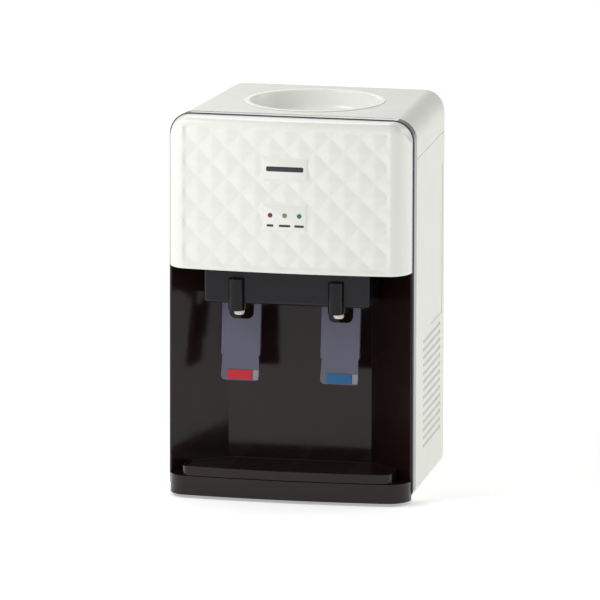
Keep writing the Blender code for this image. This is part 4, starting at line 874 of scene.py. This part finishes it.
@dataclass
class Casing:
    """Top cover, side panels, base pan, rear panel and the trim band round the front."""

    edge: float = 0.0006
    screw_radius: float = 0.0036
    screw_proud: float = 0.0016
    screw_x: float = 0.128
    screw_heights: tuple[float, ...] = (0.035, 0.165, 0.300, 0.420)
    cross_half: float = 0.0005
    cross_reach: float = 0.55
    cross_depth: float = 0.45
    plate: tuple[float, float, float, float] = (0.062, 0.150, 0.075, 0.050)
    plate_corner: float = 0.003
    foil: float = 0.0003
    foil_edge: float = 0.0001
    taper: float = 0.013
    vent_rows: int = 14
    vent_low: float = 0.052
    vent_high: float = 0.194
    vent_slot: float = 0.004
    vent_front: float = -0.027
    vent_rear: float = 0.111
    slat_set_in: float = 0.0007
    slat_reach: float = 0.0042
    slat_lap: float = 0.0003
    slat_thick: float = 0.0009
    slat_clear: float = 0.0001
    slat_overlap: float = 0.001

    def build(self) -> None:
        """Round the mouldings' edges, and fit the rear panel's screws and blank rating plate."""
        for node in ("top_cover", "side_panel_left", "side_panel_right"):
            refine(node, CASING_ABS, self.edge)
        refine("trim_band", TRIM_SAN, self.edge)
        dress("base_pan", CASING_ABS)
        refine("rear_panel", CASING_ABS, self.edge * 0.6)
        self._louvres()
        self._screws()
        self._rating_plate()

    def _louvres(self) -> None:
        """Fit a slat behind every slot, sloping down and out so that it hides the inside."""
        pitch = (self.vent_high - self.vent_low) / self.vent_rows
        heights = [self.vent_low + pitch * (row + 0.5) for row in range(self.vent_rows)]
        for side, name in ((-1, "left"), (1, "right")):
            slats = merge([self._slat(side, z) for z in heights])
            add_piece("louvre_slats_" + name, slats, CASING_ABS, BODY_OF["side_panel_" + name])

    def _slat(self, side: int, z: float) -> Shape:
        """Make one slat.

        Args:
            side: -1 on the left, 1 on the right.
            z: Height of its slot's middle.

        Returns:
            The slat.
        """
        shape = bmesh.new()
        rings = []
        half = self.vent_slot / 2
        for y in (self.vent_front - self.slat_overlap, self.vent_rear + self.slat_overlap):
            outer, inner = self.side_half(y) - self.slat_set_in, self.side_half(y) - self.slat_reach
            low, high = z - half, z + half + self.slat_lap
            section = [(outer, low + self.slat_clear), (outer, low + self.slat_thick),
                       (inner, high + self.slat_thick), (inner, high)]
            rings.append([shape.verts.new((side * x, y, height)) for x, height in section])
        for at in range(4):
            after = (at + 1) % 4
            shape.faces.new((rings[0][at], rings[0][after], rings[1][after], rings[1][at]))
        for ring in rings:
            shape.faces.new(ring)
        return shape

    def side_half(self, y: float) -> float:
        """Return the casing's half width at a depth."""
        low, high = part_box("top_cover")
        return high.x - self.taper * (y - low.y) / (high.y - low.y)

    def _screws(self) -> None:
        """Drive cross-head screws along both edges of the rear panel."""
        surface, radius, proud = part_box("rear_panel")[1].y, self.screw_radius, self.screw_proud
        head = fillet([(0.0, surface, 0), (radius, surface, 0), (radius, surface + proud * 0.5, proud * 0.5),
                       (0.0, surface + proud, 0)], 5)
        shapes = []
        for height in self.screw_heights:
            for side in (-1, 1):
                shape = lathe(head, (side * self.screw_x, 0, height), "Y", 24)
                for vertex in shape.verts:
                    x, z = abs(vertex.co.x - side * self.screw_x), abs(vertex.co.z - height)
                    if min(x, z) < self.cross_half and max(x, z) < radius * self.cross_reach:
                        vertex.co.y -= proud * self.cross_depth
                shapes.append(shape)
        add_piece("rear_screws", merge(shapes), STEEL, BODY_OF["rear_panel"])

    def _rating_plate(self) -> None:
        """Stick a blank foil plate on the rear panel."""
        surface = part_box("rear_panel")[1].y
        x, z, wide, tall = self.plate
        outline = oblong(x, z, wide, tall, self.plate_corner)
        shape = slab(outline, surface, surface + self.foil, self.foil_edge)
        add_piece("blank_rating_plate", shape, ALUMINIUM, BODY_OF["rear_panel"])


@dataclass
class Bay:
    """Gloss black dispensing bay and the tap housing over it."""

    edge: float = 0.0010
    housing_edge: float = 0.0009
    housing_corner: float = 0.0045
    housing_side: float = 0.0985

    def build(self) -> None:
        """Round the edges of the bay, and the housing's edges and lower corners."""
        refine("bay_shell", BAY_ABS, self.edge)
        refine("tap_housing", HOUSING_ABS, self.housing_edge, corner=self.housing_corner,
               chosen=self._lower_corner)

    def _lower_corner(self, edge: bmesh.types.BMEdge) -> bool:
        """Tell whether an edge belongs to one of the housing's two lower corners.

        Args:
            edge: An edge of the housing.

        Returns:
            True for an edge of its bottom that lies outside housing_side, the front corners included.
        """
        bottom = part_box("tap_housing")[0].z
        return all(abs(end.co.x) > self.housing_side and end.co.z - bottom < 0.5 * MM for end in edge.verts)


@dataclass
class Tap:
    """One tap: spout cover, valve, nozzle, plunger, spring, pin, lever and label."""

    prefix: str
    label: Finish
    edge: float = 0.0006
    lever_edge: float = 0.0007
    window_wide: float = 0.0070
    window_gap: float = 0.0009
    window_frame: float = 0.0008
    window_sink: float = 0.0004
    spring_wire: float = 0.0004
    spring_turns: int = 4
    spring_steps: int = 24
    press: float = 0.004
    mouth_edge: float = 0.0006
    mouth_lip: float = 0.001
    mouth_tall: float = 0.0025
    nozzle_wall: float = 0.002

    def build(self) -> None:
        """Dress the tap's pieces, and round the ones that show."""
        prefix = self.prefix
        refine(prefix + "_spout_cover", SPOUT_ABS, self.edge)
        dress(prefix + "_valve_body", SPOUT_ABS)
        dress(prefix + "_plunger", SPOUT_ABS)
        dress(prefix + "_pivot_pin", STEEL)
        self._nozzle()
        self._spring()
        # The lever's rounded edges take a painted highlight: a paler finish that stands in for light at the
        # sheet's edges.
        refine(prefix + "_lever", LEVER_PC, self.lever_edge, painted_rim=LEVER_EDGE_PAINTED_GLOW)
        refine(prefix + "_lever_label", self.label, self.edge * 0.5)
        self._window()

    def _spring(self) -> None:
        """Wind the return spring, and give the piece a mesh of its own."""
        node = self.prefix + "_valve_spring"
        low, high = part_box(node)
        x, y, tall = (low.x + high.x) / 2, (low.y + high.y) / 2, high.z - low.z
        radius = (high.x - low.x) / 2 - self.spring_wire
        count = self.spring_turns * self.spring_steps
        coil = []
        for step in range(count + 1):
            turn = 2 * math.pi * step / self.spring_steps
            rise = self.spring_wire + (tall - 2 * self.spring_wire) * step / count
            coil.append((x + radius * math.cos(turn), y + radius * math.sin(turn), low.z + rise))
        shape = wire(coil, self.spring_wire)
        piece = add_piece(self.prefix + "_return_spring", shape, STEEL, BODY_OF[node], (node,))
        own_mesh(piece)

    def _window(self) -> None:
        """Fit the clear window at the label's end: a frame round a sunk pane, leaning as the label does."""
        node = self.prefix + "_lever_label"
        low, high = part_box(node)
        shape = cad_mesh(node)
        start, share = high.x + self.window_gap, self.window_wide / (high.x - low.x)
        for vertex in shape.verts:
            vertex.co.x = start + (vertex.co.x - low.x) * share
        shape.normal_update()
        front = max(shape.faces, key=lambda face: -face.normal.y * face.calc_area())
        bmesh.ops.inset_region(shape, faces=[front], thickness=self.window_frame, depth=-self.window_sink)
        add_piece(self.prefix + "_label_window", shape, CLEAR_PMMA, BODY_OF[node])

    def _nozzle(self) -> None:
        """Turn the nozzle with a rounded, narrower mouth."""
        low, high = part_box(self.prefix + "_nozzle")
        node = self.prefix + "_nozzle"
        centre = ((low.x + high.x) / 2, (low.y + high.y) / 2, 0)
        outer = (high.x - low.x) / 2
        bore = outer - self.nozzle_wall
        profile = fillet([(bore, low.z, self.mouth_edge), (outer - self.mouth_lip, low.z, self.mouth_edge),
                          (outer, low.z + self.mouth_tall, 0.0004), (outer, high.z, 0), (bore, high.z, 0)])
        add_piece(node + "_tip", lathe(profile, centre, "Z", 40), NOZZLE_PP, BODY_OF[node], (node,))


@dataclass
class DripTray:
    """Tray and its lift-out grille."""

    edge: float = 0.0010

    def build(self) -> None:
        """Round the rims of both."""
        refine("drip_tray", BAY_ABS, self.edge)
        refine("drip_grille", BAY_ABS, self.edge * 0.4)


@dataclass
class BottleReceiver:
    """Bowl that the bottle stands in, its spike, and the gasket under it."""

    lip: float = 0.088
    bowl: float = 0.079
    neck: float = 0.034
    wall: float = 0.002
    bowl_depth: float = 0.056
    shoulder: float = 0.022
    seat_clear: float = 0.0002
    spike_edge: float = 0.0005

    def build(self) -> None:
        """Turn the bowl with soft corners, and dress the rest."""
        low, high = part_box("bottle_receiver")
        centre = ((low.x + high.x) / 2, (low.y + high.y) / 2, 0)
        top, seat = high.z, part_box("top_cover")[1].z + self.seat_clear
        shoulder, neck_top = top - self.shoulder, top - self.bowl_depth
        neck, bowl = self.neck + self.wall, self.bowl + self.wall
        inside = [(self.lip, seat, 0), (self.lip - 0.0006, top, 0.0008), (self.bowl + 0.001, top, 0.003),
                  (self.bowl - self.wall, shoulder, 0.010), (self.neck + 0.011, neck_top + 0.013, 0.008),
                  (self.neck, neck_top + self.wall, 0.004), (self.neck, low.z, 0)]
        outside = [(neck, low.z, 0), (neck, neck_top, 0.003), (neck + 0.012, neck_top + 0.010, 0.006),
                   (bowl - 0.001, shoulder, 0.006), (bowl, seat, 0)]
        shape = lathe(fillet(inside + outside, 6), centre, "Z", 112)
        # The bowl's finish is the cover's white painted brighter, as painted light in the bowl.
        add_piece("receiver_bowl", shape, RECEIVER_ABS_PAINTED_LIGHT, BODY_OF["bottle_receiver"], ("bottle_receiver",))
        refine("feed_spike", CASING_ABS, self.spike_edge)
        dress("reservoir_gasket", RUBBER)


@dataclass
class ColdSide:
    """Cold tank in its foam, and the cooling stack behind it with its wire fan guard."""

    wire_radius: float = 0.0009
    rings: int = 5
    ring_steps: int = 56
    hub: float = 0.009
    hub_edge: float = 0.0004
    last_ring_drop: float = 0.75

    def build(self) -> None:
        """Dress the tank and the stack, and bend the guard from wire."""
        for node, finish in (("cold_tank", STEEL), ("baffle_plate", CASING_ABS), ("tank_insulation", FOAM),
                             ("cold_block", ALUMINIUM), ("peltier_module", CERAMIC), ("heat_sink", ALUMINIUM),
                             ("fan_frame", FAN_NYLON), ("fan_rotor", FAN_NYLON)):
            dress(node, finish)
        self._guard()

    def _guard(self) -> None:
        """Weld rings on two crossed spokes, with a hub plate and four screwed feet."""
        low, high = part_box("fan_guard")
        x, z = (low.x + high.x) / 2, (low.z + high.z) / 2
        reach = (high.x - low.x) / 2 - self.wire_radius
        face, base = high.y - self.wire_radius, low.y + self.wire_radius
        shapes = []
        for ring in range(self.rings):
            radius = self.hub + (reach - self.hub) * (ring + 1) / self.rings
            depth = face - (face - base) * (self.last_ring_drop if ring == self.rings - 1 else 0.0)
            turns = [2 * math.pi * step / self.ring_steps for step in range(self.ring_steps)]
            shapes.append(wire([(x + radius * math.cos(t), depth, z + radius * math.sin(t)) for t in turns],
                               self.wire_radius, True))
        spoke = ((self.hub * 0.6, face - 0.0014), (reach * 0.78, face - 0.0014), (reach * 0.9, face - 0.0028),
                 (reach, base))
        for turn in (math.radians(angle) for angle in (45, 135, 225, 315)):
            shapes.append(wire([(x + radius * math.cos(turn), depth, z + radius * math.sin(turn))
                                for radius, depth in spoke], self.wire_radius))
        hub = fillet([(0.0, face - 0.002, 0), (self.hub, face - 0.002, self.hub_edge),
                      (self.hub, face + 0.0002, 0.0006), (0.0, face + 0.0006, 0)], 4)
        shapes.append(lathe(hub, (x, 0, z), "Y", 32))
        add_piece("wire_fan_guard", merge(shapes), FAN_NYLON, BODY_OF["fan_guard"], ("fan_guard",))


@dataclass
class HotSide:
    """Hot tank with its heater, the hoses and the power board."""

    def build(self) -> None:
        """Dress each piece in what it is made of."""
        for node, finish in (("hot_tank", STEEL), ("heating_element", STEEL), ("cold_hose", SILICONE),
                             ("hot_hose", SILICONE), ("feed_hose", SILICONE), ("power_board", BOARD)):
            dress(node, finish)


@dataclass
class RearFittings:
    """Rocker switches in their bezel, the cord bush and the drain cap."""

    edge: float = 0.0005
    rocker_edge: float = 0.0004
    bush_edge: float = 0.0003
    grips: int = 16
    grip_depth: float = 0.0005
    grip_reach: float = 0.0014
    cap_bore: float = 0.0058
    cap_lid: float = 0.0018

    def build(self) -> None:
        """Round the bezel and rockers, and turn the bush and the ribbed cap."""
        refine("switch_bezel", RUBBER, self.edge)
        refine("hot_switch_rocker", RED_ROCKER, self.rocker_edge)
        refine("cold_switch_rocker", GREEN_ROCKER, self.rocker_edge)
        refine("cord_bush", RUBBER, self.bush_edge)
        self._cap()

    def _cap(self) -> None:
        """Turn the drain cap with finger grips round its rim."""
        low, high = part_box("drain_cap")
        centre = ((low.x + high.x) / 2, 0, (low.z + high.z) / 2)
        radius, bore, lid = (high.x - low.x) / 2, self.cap_bore, high.y - self.cap_lid
        profile = fillet([(bore, low.y, 0), (radius, low.y, 0.0004), (radius - 0.0006, high.y, 0.0012),
                          (0.0, high.y, 0), (0.0, lid, 0), (bore, lid, 0)], 4)
        shape = lathe(profile, centre, "Y", self.grips * 6)
        for vertex in shape.verts:
            offset = Vector((vertex.co.x - centre[0], 0, vertex.co.z - centre[2]))
            if offset.length > radius - self.grip_reach:
                dip = max(0.0, math.cos(math.atan2(offset.z, offset.x) * self.grips)) ** 2
                vertex.co -= offset.normalized() * self.grip_depth * dip
        add_piece("ribbed_drain_cap", shape, CASING_ABS, BODY_OF["drain_cap"], ("drain_cap",))


@dataclass
class Feet:
    """Four rubber feet, with the stems of the two in front."""

    edge: float = 0.0005

    def build(self) -> None:
        """Round the rims."""
        for place in ("front_left", "front_right", "rear_left", "rear_right"):
            refine("foot_" + place, RUBBER, self.edge)


def main() -> None:
    """Build every sub-assembly in order."""
    logging.basicConfig(level=logging.INFO, format="%(name)s: %(message)s")
    Studio().build()
    for assembly in (Casing(), Fascia(), Bay(), Tap("hot", RED_PP), Tap("cold", BLUE_PP), DripTray(),
                     BottleReceiver(), ColdSide(), HotSide(), RearFittings(), Feet()):
        assembly.build()
        LOG.info("%s done", type(assembly).__name__)


if __name__ == "__main__":
    main()
